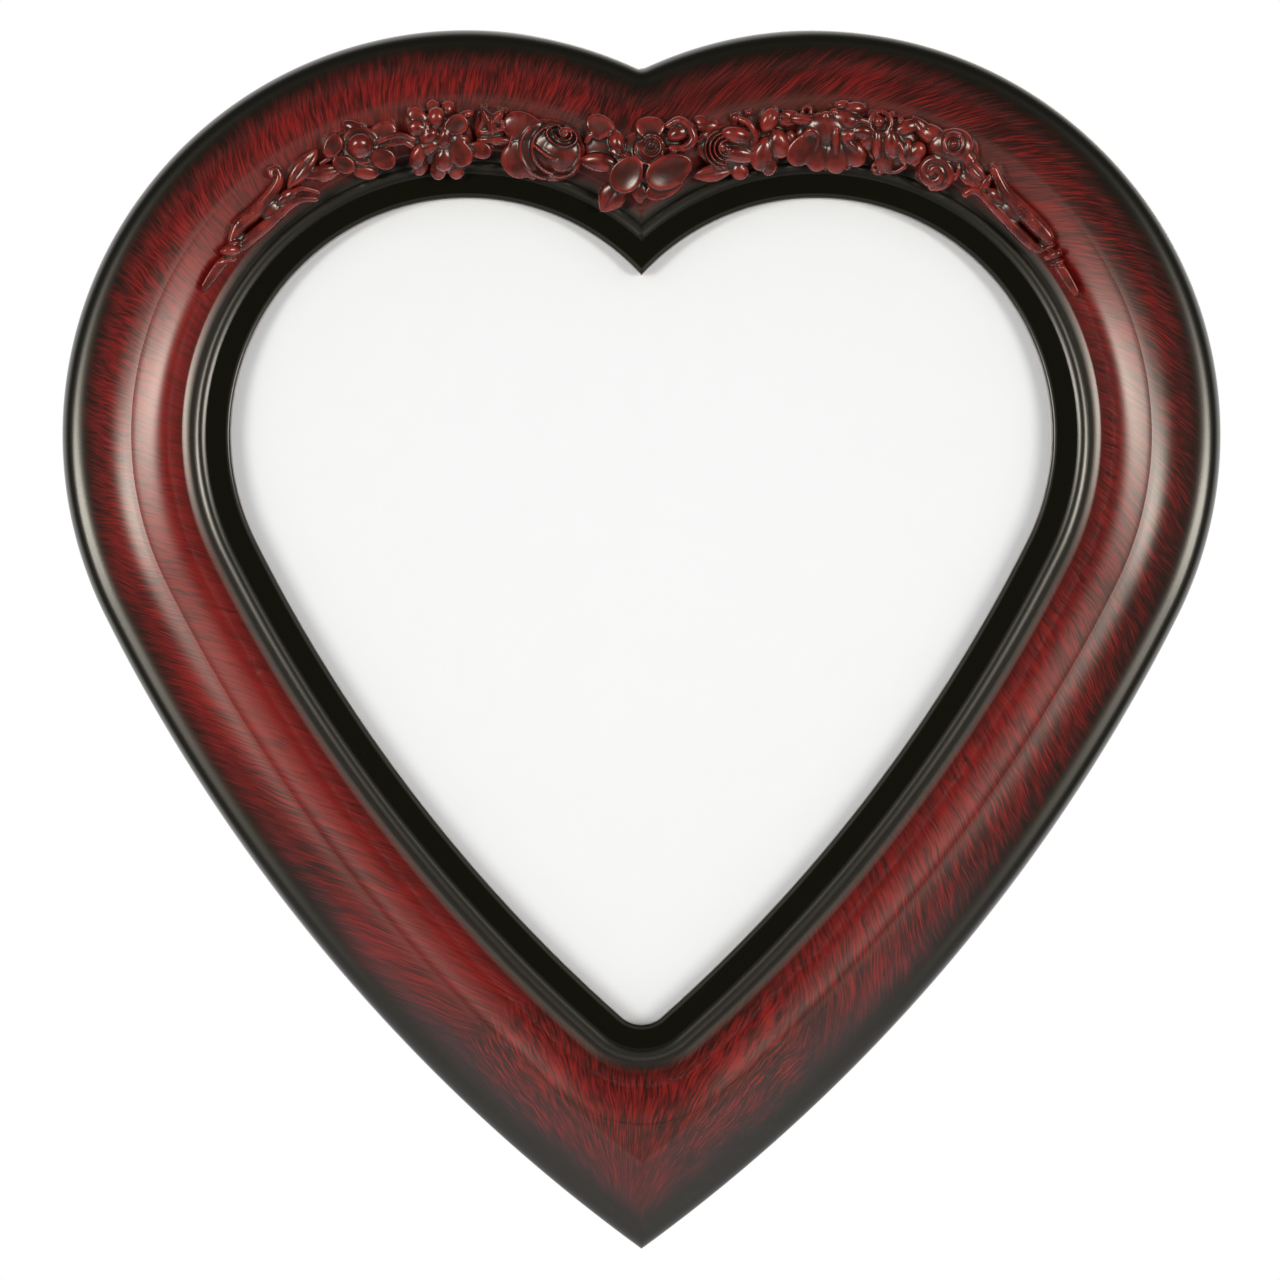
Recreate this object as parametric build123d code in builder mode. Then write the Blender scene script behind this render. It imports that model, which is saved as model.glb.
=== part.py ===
"""Heart-shaped photo frame: a heart moulding with a cast garland, and the glass, board and
hardware behind it.

Millimetres. X runs to the right, Z up, and the front faces -Y. The origin lies on the wall,
midway between the two wall hooks that take the hanger rings once they are swung up.
Angles are in degrees, clockwise from straight up as seen from the front.
"""

import os
from math import asin, atan2, cos, degrees, radians, sin, sqrt

from build123d import *

os.makedirs("parts", exist_ok=True)

# Heart outline along the sight edge, the inner rim that the picture shows through
SIGHT_WIDTH = 292.0
LOBE_RADIUS = 84.0
SIDE_RADIUS = 560.0
LOBE_END = 116.5
SIGHT_TIP_RADIUS = 11.0
NOTCH_RADIUS = 4.0

# Moulding profile, from the outer edge in, with heights above the flat back
BACK_CHAMFER = 0.8
SIDE_HEIGHT = 8.0
SHOULDER_RADIUS = 8.0
BULGE_RISE = 10.0
BULGE_RADIUS = 19.5
CROWN_LAND = 0.9
COVE_RADIUS = 3.0
VALLEY_WIDTH = 0.8
REED_WIDTH = 4.2
REED_RISE = 0.9
LIP_WIDTH = 8.9
LIP_HEIGHT = 13.5
SIGHT_ROUND = 1.2

# Rebate and the sheets in it
REBATE_WIDTH = 6.5
SHEET_CLEARANCE = 0.8
GLASS_THICKNESS = 2.0
CARD_THICKNESS = 0.6
BOARD_THICKNESS = 3.2
BOARD_RECESS = 0.3

# Turn buttons: where they sit along the heart, and their size
LOBE_BUTTON_ANGLES = {"upper": 10.0, "side": 101.0}
LOWER_BUTTON_ANGLE = 129.0
BUTTON_SETBACK = 6.5
BUTTON_REACH = 15.0
BUTTON_PIVOT_RADIUS = 5.0
BUTTON_TIP_RADIUS = 3.2
BUTTON_THICKNESS = 1.6
BUTTON_EDGE = 0.3

# Wood screws of the buttons and of the hangers
SCREW_SHANK_RADIUS = 1.5
SCREW_PLAY = 0.08
SCREW_LENGTH = 9.0
SCREW_POINT = 2.5
SCREW_CORE_RADIUS = 0.3
SCREW_HEAD_RADIUS = 3.0
SCREW_HEAD_HEIGHT = 1.7
SCREW_HEAD_ROUND = 0.8
CROSS_LENGTH = 3.6
CROSS_WIDTH = 0.8
CROSS_DEPTH = 0.9

# Hangers: a strap rolled round the bar of a ring
HANGER_ANGLE = 70.0
HANGER_OFFSET = 33.0
STRAP_WIDTH = 10.0
STRAP_THICKNESS = 1.0
STRAP_SCREW_GAP = 2.0
STRAP_SCREW_PITCH = 8.0
STRAP_SCREW_INSET = 5.0
STRAP_CORNER_RADIUS = 3.0
RING_WIRE_RADIUS = 1.0
RING_BEND_RADIUS = 2.5
RING_REACH = 14.0
RING_WIDTH = 19.0
RING_PLAY = 0.2

# Wall bumpers
BUMPER_RADIUS = 6.0
BUMPER_THICKNESS = 5.0
BUMPER_ROUND = 1.0
UPPER_BUMPER_ANGLE = -8.0
LOWER_BUMPER_ANGLE = 135.0
BUMPER_OFFSET = 36.0

# Garland: how far it leans towards the sight edge, and how deep its leaves are rooted
GARLAND_LEAN = 18.0
ROOT_DEPTH = 7.0

# Garland tails, a tapered spear, a knuckle and a slit horn that ends in two hooks
TAIL_OFFSET = 22.5
SPEAR_ANGLES = (61.5, 53.0)
SPEAR_RADII = (1.3, 2.7)
KNUCKLE_ANGLE = 51.6
KNUCKLE_RADIUS = 3.1
HORN_ANGLES = (50.2, 37.0)
HORN_RADII = (2.7, 5.2)
HORN_SLIT_LENGTH = 13.0
HORN_SLIT_WIDTH = 2.4
HOOK_RADIUS = 3.4
HOOK_WIRE_RADIUS = 1.7
HOOK_RISE = 1.0
HOOK_TURN = 230.0
OUTER_HOOK_SPOT = (36.6, 28.0)
OUTER_HOOK_START = -100.0
INNER_HOOK_SPOT = (36.4, 17.6)
INNER_HOOK_START = 100.0
INNER_HOOK_LEAN = 45.0

# Leaves: size, height and slope of the sides
LEAF_LENGTH = 12.0
LEAF_WIDTH = 6.0
LEAF_HEIGHT = 3.4
LEAF_SLOPE = 30.0

# Flowers. A spot is the angle along the lobe and the offset from the sight edge. A ring is a
# count, a ring radius, a petal radius and the height of the petals' tops. A petal is a place,
# a radius and the height of its top, and a leaf is a place and a heading.
BERRIES_SPOT = (20.5, 25.5)
BERRIES_RINGS = [(1, 0.0, 11.0, 2.6), (1, 0.0, 4.8, 6.4), (6, 7.6, 4.0, 3.8)]
BERRIES_STEM = [((9.8, 0.6), 3.2, 3.4), ((12.6, 1.0), 2.6, 2.6)]
BERRIES_LEAVES = [(-12.2, 1.0, 24.0)]
POSY_SPOT = (4.7, 22.8)
POSY_RINGS = [(1, 0.0, 12.0, 3.0), (1, 0.0, 4.2, 6.6), (5, 5.4, 3.8, 5.6), (9, 9.2, 3.8, 3.4)]
BUD_SPOT = (-5.6, 25.0)
BUD_RINGS = [(1, 0.0, 7.0, 2.0), (1, 0.0, 2.8, 4.8), (5, 3.4, 2.2, 3.0)]
BUD_PETALS = [((-0.4, -6.0), 3.6, 3.2), ((-0.8, -10.2), 3.8, 1.8)]
LEFT_ROSE_SPOT = (-16.2, 23.5)
LEFT_ROSE_RINGS = [(1, 0.0, 11.5, 3.0), (1, 0.0, 3.2, 8.2), (4, 3.7, 3.6, 6.7), (7, 8.4, 5.1, 4.6)]
RIGHT_ROSE_SPOT = (-16.0, 24.0)
RIGHT_ROSE_RINGS = [(1, 0.0, 11.0, 2.6), (1, 0.0, 2.6, 7.2), (3, 3.0, 3.2, 5.9), (5, 6.2, 4.4, 4.2)]
RIGHT_ROSE_LEAVES = [(-7.0, -9.6, -130.0), (3.6, -10.2, -60.0)]
BLOOM_OFFSET = 34.0
BLOOM_RINGS = [(1, 0.0, 14.0, 2.6), (1, 0.0, 5.0, 7.2), (5, 9.6, 5.8, 4.8)]
BLOOM_PETALS = [((0.6, -12.4), 5.6, 3.8)]
BLOOM_LEAVES = [(-7.4, -15.4, -125.0), (7.8, -15.4, -50.0)]
PANSY_SPOT = (-7.6, 23.0)
PANSY_PETALS = [((0.0, 4.8), 3.6, 4.6), ((0.3, -2.4), 4.4, 5.4), ((0.6, -7.8), 4.0, 2.6)]
LOBED_LEAF_SPOT = (2.5, 21.5)
LOBED_LEAF_RINGS = [(1, 0.0, 6.4, 5.4), (7, 7.8, 4.4, 3.4)]
BELL_SPOT = (13.2, 25.5)
BELL_PETALS = [
    ((0.0, 0.6), 4.4, 5.8), ((-4.4, -1.0), 3.0, 3.8), ((2.6, -5.2), 3.8, 4.2),
    ((6.0, -8.0), 3.6, 2.8), ((-1.6, -9.0), 4.0, 2.2),
]
SCROLL_SPOT = (25.2, 24.5)
SCROLL_FLOWER_PLACE = (0.0, 5.2)
SCROLL_FLOWER_RINGS = [(1, 0.0, 8.0, 2.2), (1, 0.0, 3.2, 6.0), (5, 4.2, 3.0, 4.2)]
SCROLL_PLACE = (-2.6, -4.6)
SCROLL_RADIUS = 4.2
SCROLL_WIRE_RADIUS = 2.1
SCROLL_EYE_RADIUS = 2.7
SCROLL_PETALS = [((4.6, -1.4), 3.4, 3.6), ((7.6, -4.6), 3.4, 2.4)]

LEFT, RIGHT = -1, 1
SIDES = ((LEFT, "left"), (RIGHT, "right"))

# Places that follow from the sizes above
back_y = -BUMPER_THICKNESS
rebate_depth = GLASS_THICKNESS + CARD_THICKNESS + BOARD_THICKNESS + BOARD_RECESS
shoulder_height = SIDE_HEIGHT + SHOULDER_RADIUS
crown_height = shoulder_height + BULGE_RISE
bulge_centre_height = crown_height - BULGE_RADIUS
outer_zone = SHOULDER_RADIUS + sqrt(BULGE_RADIUS**2 - (BULGE_RADIUS - BULGE_RISE) ** 2)
cove_offset = LIP_WIDTH + REED_WIDTH + VALLEY_WIDTH
cove_height = LIP_HEIGHT + COVE_RADIUS
cove_drop = cove_height - bulge_centre_height
inner_zone = cove_offset + sqrt((BULGE_RADIUS + COVE_RADIUS) ** 2 - cove_drop**2)
bulge_reach = (inner_zone - cove_offset) * BULGE_RADIUS / (BULGE_RADIUS + COVE_RADIUS)
moulding_width = outer_zone + CROWN_LAND + inner_zone
lobe_x = SIGHT_WIDTH / 2 - LOBE_RADIUS
hanger_radius = LOBE_RADIUS + HANGER_OFFSET
hanger_x = lobe_x + hanger_radius * sin(radians(HANGER_ANGLE))
lobe_z = -RING_REACH - hanger_radius * cos(radians(HANGER_ANGLE))


def toward(angle):
    """Unit vector in the plane of the frame."""
    return Vector(sin(radians(angle)), 0, cos(radians(angle)))


lobe_centre = Vector(lobe_x, back_y, lobe_z)
side_centre = lobe_centre + toward(LOBE_END) * (LOBE_RADIUS - SIDE_RADIUS)
tip_reach = SIDE_RADIUS - SIGHT_TIP_RADIUS
tip_centre = Vector(0, back_y, side_centre.Z - sqrt(tip_reach**2 - side_centre.X**2))
tip_start = 180 - degrees(asin(-side_centre.X / tip_reach))
notch_reach = LOBE_RADIUS + moulding_width + NOTCH_RADIUS
notch_centre = Vector(0, back_y, lobe_z + sqrt(notch_reach**2 - lobe_x**2))
notch_angle = degrees(asin(lobe_x / notch_reach))


def lobe_start(offset):
    """Angle at which the lobe arc at this offset from the sight edge meets the middle."""
    return -degrees(asin(lobe_x / (LOBE_RADIUS + offset)))


def side_end(offset):
    """Angle at which the side arc at this offset from the sight edge meets the middle."""
    return 180 - degrees(asin(-side_centre.X / (SIDE_RADIUS + offset)))


def depth_plane(height):
    """Plane of the frame at a height above the flat back, its normal to the front."""
    return Plane((0, back_y - height, 0), x_dir=(1, 0, 0), z_dir=(0, -1, 0))


def heart_arc(centre, radius, start, end):
    """Arc of the heart's outline, drawn in the plane of the frame."""
    CenterArc((centre.X, centre.Z), radius, 90 - start, start - end)


def sight_outline(offset, mode=Mode.ADD):
    """Heart that follows the sight edge: sharp at the notch, round at the tip."""
    with BuildLine() as outline:
        heart_arc(lobe_centre, LOBE_RADIUS + offset, lobe_start(offset), LOBE_END)
        heart_arc(side_centre, SIDE_RADIUS + offset, LOBE_END, tip_start)
        heart_arc(tip_centre, SIGHT_TIP_RADIUS + offset, tip_start, 180)
        mirror(about=Plane.YZ)
    make_face(outline.edges(), mode=mode)


def rim_outline(inset):
    """Heart that follows the outer edge: round at the notch, sharp at the tip."""
    offset = moulding_width - inset
    with BuildLine() as outline:
        heart_arc(notch_centre, NOTCH_RADIUS + inset, 180, 180 - notch_angle)
        heart_arc(lobe_centre, LOBE_RADIUS + offset, -notch_angle, LOBE_END)
        heart_arc(side_centre, SIDE_RADIUS + offset, LOBE_END, side_end(offset))
        mirror(about=Plane.YZ)
    make_face(outline.edges())


def profile_arc(place, centre, radius, start, end):
    """Arc of the moulding's profile. Its angles turn from inwards towards the front."""
    turns = [radians(start + (end - start) * share) for share in (0, 0.5, 1)]
    ThreePointArc(*[
        place(centre[0] + radius * cos(turn), centre[1] + radius * sin(turn)) for turn in turns
    ])


def outer_profile(place):
    """Side wall, shoulder and outer slope of the bulge, by distance from the outer edge."""
    foot = degrees(asin((BULGE_RADIUS - BULGE_RISE) / BULGE_RADIUS))
    with BuildLine() as profile:
        Polyline(
            place(outer_zone, crown_height), place(outer_zone, 0), place(BACK_CHAMFER, 0),
            place(0, BACK_CHAMFER), place(0, SIDE_HEIGHT),
        )
        profile_arc(place, (SHOULDER_RADIUS, SIDE_HEIGHT), SHOULDER_RADIUS, 180, 90)
        profile_arc(place, (outer_zone, bulge_centre_height), BULGE_RADIUS, 180 - foot, 90)
    make_face(profile.edges())


def inner_profile(place):
    """Inner slope of the bulge, cove, reed, sight lip and rebate, by distance from the sight."""
    foot = degrees(atan2(cove_drop, cove_offset - inner_zone))
    reed_end = LIP_WIDTH + REED_WIDTH
    with BuildLine() as profile:
        profile_arc(place, (inner_zone, bulge_centre_height), BULGE_RADIUS, 90, foot)
        profile_arc(place, (cove_offset, cove_height), COVE_RADIUS, foot - 180, -90)
        Line(place(cove_offset, LIP_HEIGHT), place(reed_end, LIP_HEIGHT))
        ThreePointArc(
            place(reed_end, LIP_HEIGHT),
            place(LIP_WIDTH + REED_WIDTH / 2, LIP_HEIGHT + REED_RISE),
            place(LIP_WIDTH, LIP_HEIGHT),
        )
        Line(place(LIP_WIDTH, LIP_HEIGHT), place(SIGHT_ROUND, LIP_HEIGHT))
        profile_arc(place, (SIGHT_ROUND, LIP_HEIGHT - SIGHT_ROUND), SIGHT_ROUND, 90, 180)
        Polyline(
            place(0, LIP_HEIGHT - SIGHT_ROUND), place(0, rebate_depth),
            place(REBATE_WIDTH, rebate_depth), place(REBATE_WIDTH, 0),
            place(inner_zone, 0), place(inner_zone, crown_height),
        )
    make_face(profile.edges())


def turn_profile(draw, centre, edge_radius, inwards, start, end):
    """Revolve one of the profiles about the centre of an arc of the heart."""
    with BuildSketch(Plane(centre, x_dir=toward(start), z_dir=toward(start + 90))) as section:
        draw(lambda distance, height: (edge_radius + inwards * distance, height))
    revolve(section.sketch, axis=Axis(centre, (0, 1, 0)), revolution_arc=end - start)


def back_plane(side, centre, angle, radius, height):
    """Plane at the back, its normal to the wall and its X axis towards the sight edge."""
    outwards = toward(side * angle)
    spot = Vector(side * centre.X, back_y + height, centre.Z) + outwards * radius
    return Plane(spot, x_dir=-outwards, z_dir=(0, 1, 0))


def button_planes(height):
    """Planes of the six turn buttons by name, at a height behind the moulding's back."""
    reach = REBATE_WIDTH + BUTTON_SETBACK
    planes = {}
    for side, hand in SIDES:
        for name, angle in LOBE_BUTTON_ANGLES.items():
            planes[f"{name}_{hand}"] = back_plane(
                side, lobe_centre, angle, LOBE_RADIUS + reach, height)
        planes[f"lower_{hand}"] = back_plane(
            side, side_centre, LOWER_BUTTON_ANGLE, SIDE_RADIUS + reach, height)
    return planes


def hanger_plane(side, height):
    """Plane of a hanger at the height of its loop: X to the right from behind, Y up."""
    spot = Vector(side * hanger_x, back_y + height, -RING_REACH)
    return Plane(spot, x_dir=(-1, 0, 0), z_dir=(0, 1, 0))


def shifted(plane, x, y):
    """Plane moved within itself."""
    return Plane(plane.from_local_coords((x, y, 0)), x_dir=plane.x_dir, z_dir=plane.z_dir)


def surface_height(offset):
    """Height of the bulge at an offset from the sight edge."""
    reach = max(0, inner_zone - offset, offset - inner_zone - CROWN_LAND)
    return bulge_centre_height + sqrt(BULGE_RADIUS**2 - min(reach, bulge_reach) ** 2)


def perch(side, angle, offset, lean=GARLAND_LEAN):
    """Plane on the bulge: X to the right along it, Y outwards, Z out of the surface."""
    outwards = toward(side * angle)
    centre = Vector(side * lobe_centre.X, back_y - surface_height(offset), lobe_centre.Z)
    normal = -outwards * sin(radians(lean)) - Vector(0, cos(radians(lean)), 0)
    spot = centre + outwards * (LOBE_RADIUS + offset)
    return Plane(spot, x_dir=toward(side * angle + 90), z_dir=normal)


def petal_rings(plane, rings):
    """Rings of round petals about the middle of a flower."""
    for count, ring_radius, petal_radius, top in rings:
        with Locations(plane.offset(top - petal_radius)):
            with PolarLocations(ring_radius, count, start_angle=90):
                Sphere(petal_radius)


def petals(plane, places):
    """Single round petals, each at a place of its own."""
    for (x, y), radius, top in places:
        with Locations(plane):
            with Locations((x, y, top - radius)):
                Sphere(radius)


def almond(plane, x, y, heading, length, width):
    """Pointed oval on a plane, as of a leaf or a slit."""
    tips = (-length / 2, 0), (length / 2, 0)
    with BuildLine() as edge:
        ThreePointArc(tips[0], (0, width / 2), tips[1])
        ThreePointArc(tips[1], (0, -width / 2), tips[0])
    with BuildSketch(plane) as oval:
        with Locations(Location((x, y), heading)):
            add(Face(Wire(edge.edges())))
    return oval.sketch


def leaves(plane, places):
    """Leaves with sloping sides, rooted in the moulding."""
    for place in places:
        blade = almond(plane, *place, LEAF_LENGTH, LEAF_WIDTH)
        extrude(blade, amount=LEAF_HEIGHT, taper=LEAF_SLOPE)
        extrude(blade, amount=-ROOT_DEPTH)


def taper(start, end, start_radius, end_radius):
    """Round tapered rod between two points."""
    with Locations(Plane(start, z_dir=end - start)):
        Cone(start_radius, end_radius, (end - start).length,
             align=(Align.CENTER, Align.CENTER, Align.MIN))


def hook(plane, start, hand):
    """Round wire bent into a hook about a plane's origin, to the left or to the right."""
    raised = plane.offset(HOOK_RISE)
    arm = raised.x_dir * cos(radians(start)) + raised.y_dir * sin(radians(start))
    with BuildSketch(Plane(raised.origin, x_dir=arm, z_dir=raised.z_dir.cross(arm))) as wire:
        with Locations((HOOK_RADIUS, 0)):
            Circle(HOOK_WIRE_RADIUS)
    revolve(wire.sketch, axis=Axis(raised.origin, raised.z_dir * hand), revolution_arc=HOOK_TURN)


def finish(builder, name):
    """Label a finished piece and write its file."""
    builder.part.label = name
    export_step(builder.part, f"parts/{name}.step")


with BuildPart() as screw:
    Cylinder(SCREW_HEAD_RADIUS, SCREW_HEAD_HEIGHT, align=(Align.CENTER, Align.CENTER, Align.MIN))
    fillet(screw.edges().sort_by(Axis.Z)[-1], SCREW_HEAD_ROUND)
    shank = SCREW_LENGTH - SCREW_POINT
    Cylinder(SCREW_SHANK_RADIUS, shank, align=(Align.CENTER, Align.CENTER, Align.MAX))
    with Locations((0, 0, -shank)):
        Cone(SCREW_CORE_RADIUS, SCREW_SHANK_RADIUS, SCREW_POINT,
             align=(Align.CENTER, Align.CENTER, Align.MAX))
    with Locations((0, 0, SCREW_HEAD_HEIGHT)):
        for turn in (0, 90):
            Box(CROSS_LENGTH, CROSS_WIDTH, CROSS_DEPTH, rotation=(0, 0, turn),
                align=(Align.CENTER, Align.CENTER, Align.MAX), mode=Mode.SUBTRACT)

button_screw_planes = list(button_planes(BUTTON_THICKNESS).values())
strap_screw_drop = RING_REACH + 2 * RING_WIRE_RADIUS + STRAP_SCREW_GAP + SCREW_HEAD_RADIUS
strap_screw_drops = (strap_screw_drop, strap_screw_drop + STRAP_SCREW_PITCH)
strap_screw_planes = [
    shifted(hanger_plane(side, STRAP_THICKNESS), 0, -drop)
    for side, hand in SIDES for drop in strap_screw_drops
]

with BuildPart() as moulding:
    turn_profile(outer_profile, notch_centre, NOTCH_RADIUS, 1, 180 - notch_angle, 180)
    turn_profile(outer_profile, lobe_centre, LOBE_RADIUS + moulding_width, -1, -notch_angle, LOBE_END)
    turn_profile(outer_profile, side_centre, SIDE_RADIUS + moulding_width, -1, LOBE_END,
                 side_end(moulding_width))
    turn_profile(inner_profile, lobe_centre, LOBE_RADIUS, 1, lobe_start(0), LOBE_END)
    turn_profile(inner_profile, side_centre, SIDE_RADIUS, 1, LOBE_END, tip_start)
    turn_profile(inner_profile, tip_centre, SIGHT_TIP_RADIUS, 1, tip_start, 180)
    split(bisect_by=Plane.YZ, keep=Keep.TOP)
    mirror(about=Plane.YZ)
    with BuildSketch(depth_plane(0)):
        rim_outline(outer_zone)
        sight_outline(inner_zone, mode=Mode.SUBTRACT)
    extrude(amount=crown_height)
    with Locations(*button_screw_planes, *strap_screw_planes):
        Hole(SCREW_SHANK_RADIUS, SCREW_LENGTH)
finish(moulding, "heart_moulding")

sheet_offset = REBATE_WIDTH - SHEET_CLEARANCE
card_height = BOARD_RECESS + BOARD_THICKNESS
for name, height, thickness in (
    ("backing_board", BOARD_RECESS, BOARD_THICKNESS),
    ("insert_card", card_height, CARD_THICKNESS),
    ("glass_pane", card_height + CARD_THICKNESS, GLASS_THICKNESS),
):
    with BuildPart() as sheet:
        with BuildSketch(depth_plane(height)):
            sight_outline(sheet_offset)
        extrude(amount=thickness)
    finish(sheet, name)

for name, plane in button_planes(0).items():
    with BuildPart() as button:
        with BuildSketch(plane):
            Circle(BUTTON_PIVOT_RADIUS)
            with Locations((BUTTON_REACH, 0)):
                Circle(BUTTON_TIP_RADIUS)
            make_hull()
        extrude(amount=BUTTON_THICKNESS)
        chamfer(button.edges().group_by(Axis.Y)[-1], BUTTON_EDGE)
        with Locations(plane.offset(BUTTON_THICKNESS)):
            Hole(SCREW_SHANK_RADIUS + SCREW_PLAY)
    finish(button, f"turn_button_{name}")

for name, planes in (
    ("turn_button_screws", button_screw_planes),
    ("hanger_screws", strap_screw_planes),
):
    with BuildPart() as screws:
        with Locations(*planes):
            add(screw.part)
    finish(screws, name)

loop_radius = RING_WIRE_RADIUS + RING_PLAY
loop_height = STRAP_THICKNESS + loop_radius
strap_length = strap_screw_drops[-1] + STRAP_SCREW_INSET
for side, hand in SIDES:
    with BuildPart() as strap:
        with BuildSketch(hanger_plane(side, 0)):
            with Locations((0, -strap_length / 2)):
                Rectangle(STRAP_WIDTH, strap_length)
        extrude(amount=STRAP_THICKNESS)
        fillet(strap.edges().filter_by(Axis.Y).group_by(Axis.Z)[0], STRAP_CORNER_RADIUS)
        with Locations(hanger_plane(side, loop_height)):
            Cylinder(loop_radius + STRAP_THICKNESS, STRAP_WIDTH, rotation=(0, 90, 0))
            Cylinder(loop_radius, STRAP_WIDTH, rotation=(0, 90, 0), mode=Mode.SUBTRACT)
        with Locations(*[plane for plane in strap_screw_planes if side * plane.origin.X > 0]):
            Hole(SCREW_SHANK_RADIUS + SCREW_PLAY)
    finish(strap, f"hanger_strap_{hand}")

ring_half = RING_WIDTH / 2 - RING_WIRE_RADIUS
ring_drop = RING_REACH + RING_WIRE_RADIUS - ring_half
ring_bar = ring_half - RING_BEND_RADIUS
for side, hand in SIDES:
    with BuildPart() as ring:
        with BuildLine(hanger_plane(side, loop_height)) as bend:
            Line((-ring_bar, 0), (ring_bar, 0))
            CenterArc((ring_bar, -RING_BEND_RADIUS), RING_BEND_RADIUS, 90, -90)
            Line((ring_half, -RING_BEND_RADIUS), (ring_half, -ring_drop))
            CenterArc((0, -ring_drop), ring_half, 0, -180)
            Line((-ring_half, -ring_drop), (-ring_half, -RING_BEND_RADIUS))
            CenterArc((-ring_bar, -RING_BEND_RADIUS), RING_BEND_RADIUS, 180, -90)
        with BuildSketch(Plane(bend.line @ 0, z_dir=bend.line % 0)):
            Circle(RING_WIRE_RADIUS)
        sweep()
    finish(ring, f"hanger_ring_{hand}")

for name, centre, angle, radius in (
    ("upper", lobe_centre, UPPER_BUMPER_ANGLE, LOBE_RADIUS + BUMPER_OFFSET),
    ("lower", side_centre, LOWER_BUMPER_ANGLE, SIDE_RADIUS + BUMPER_OFFSET),
):
    for side, hand in SIDES:
        with BuildPart() as bumper:
            with BuildSketch(back_plane(side, centre, angle, radius, 0)):
                Circle(BUMPER_RADIUS)
            extrude(amount=BUMPER_THICKNESS)
            fillet(bumper.edges().sort_by(Axis.Y)[-1], BUMPER_ROUND)
        finish(bumper, f"wall_bumper_{name}_{hand}")

tails = {}
for side, hand in SIDES:
    tip, spear_end, knuckle, horn_start, horn_end = [
        perch(side, angle, TAIL_OFFSET)
        for angle in (*SPEAR_ANGLES, KNUCKLE_ANGLE, *HORN_ANGLES)
    ]
    with BuildPart() as tail:
        taper(tip.origin, spear_end.origin, *SPEAR_RADII)
        taper(horn_start.origin, horn_end.origin, *HORN_RADII)
        for plane, radius in (
            (tip, SPEAR_RADII[0]), (knuckle, KNUCKLE_RADIUS), (horn_end, HORN_RADII[1])
        ):
            with Locations(plane):
                Sphere(radius)
        middle = Plane((horn_start.origin + horn_end.origin) * 0.5,
                       x_dir=horn_end.origin - horn_start.origin, z_dir=horn_end.z_dir)
        slit = almond(middle, 0, 0, 0, HORN_SLIT_LENGTH, HORN_SLIT_WIDTH)
        extrude(slit, amount=HORN_RADII[1], mode=Mode.SUBTRACT)
        hook(perch(side, *OUTER_HOOK_SPOT), 90 + side * (OUTER_HOOK_START - 90), side)
        hook(perch(side, *INNER_HOOK_SPOT, INNER_HOOK_LEAN), 90 + side * (INNER_HOOK_START - 90), -side)
        add(moulding.part, mode=Mode.SUBTRACT)
    finish(tail, f"garland_tail_{hand}")
    tails[hand] = tail.part

berries_perch = perch(LEFT, *BERRIES_SPOT)
with BuildPart() as berries:
    petal_rings(berries_perch, BERRIES_RINGS)
    petals(berries_perch, BERRIES_STEM)
    leaves(berries_perch, BERRIES_LEAVES)
    add(moulding.part, mode=Mode.SUBTRACT)
    add(tails["left"], mode=Mode.SUBTRACT)
finish(berries, "garland_berries_left")

with BuildPart() as posy:
    petal_rings(perch(LEFT, *POSY_SPOT), POSY_RINGS)
    for piece in (moulding, berries):
        add(piece.part, mode=Mode.SUBTRACT)
finish(posy, "garland_posy_left")

with BuildPart() as left_rose:
    petal_rings(perch(LEFT, *LEFT_ROSE_SPOT), LEFT_ROSE_RINGS)
    add(moulding.part, mode=Mode.SUBTRACT)
finish(left_rose, "garland_rose_left")

bud_perch = perch(LEFT, *BUD_SPOT)
with BuildPart() as bud:
    petal_rings(bud_perch, BUD_RINGS)
    petals(bud_perch, BUD_PETALS)
    for piece in (moulding, posy, left_rose):
        add(piece.part, mode=Mode.SUBTRACT)
finish(bud, "garland_bud_left")

right_rose_perch = perch(RIGHT, *RIGHT_ROSE_SPOT)
with BuildPart() as right_rose:
    petal_rings(right_rose_perch, RIGHT_ROSE_RINGS)
    leaves(right_rose_perch, RIGHT_ROSE_LEAVES)
    add(moulding.part, mode=Mode.SUBTRACT)
finish(right_rose, "garland_rose_right")

bloom_seat = perch(RIGHT, lobe_start(BLOOM_OFFSET), BLOOM_OFFSET)
bloom_perch = Plane(bloom_seat.origin, x_dir=(1, 0, 0),
                    z_dir=Vector(0, -1, 0).rotate(Axis.X, GARLAND_LEAN))
with BuildPart() as bloom:
    petal_rings(bloom_perch, BLOOM_RINGS)
    petals(bloom_perch, BLOOM_PETALS)
    leaves(bloom_perch, BLOOM_LEAVES)
    for piece in (moulding, left_rose, right_rose):
        add(piece.part, mode=Mode.SUBTRACT)
finish(bloom, "garland_centre_bloom")

with BuildPart() as lobed_leaf:
    petal_rings(perch(RIGHT, *LOBED_LEAF_SPOT), LOBED_LEAF_RINGS)
    add(moulding.part, mode=Mode.SUBTRACT)
finish(lobed_leaf, "garland_leaf_right")

with BuildPart() as pansy:
    petals(perch(RIGHT, *PANSY_SPOT), PANSY_PETALS)
    for piece in (moulding, right_rose, lobed_leaf):
        add(piece.part, mode=Mode.SUBTRACT)
finish(pansy, "garland_pansy_right")

with BuildPart() as bellflower:
    petals(perch(RIGHT, *BELL_SPOT), BELL_PETALS)
    for piece in (moulding, lobed_leaf):
        add(piece.part, mode=Mode.SUBTRACT)
finish(bellflower, "garland_bellflower_right")

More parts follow.
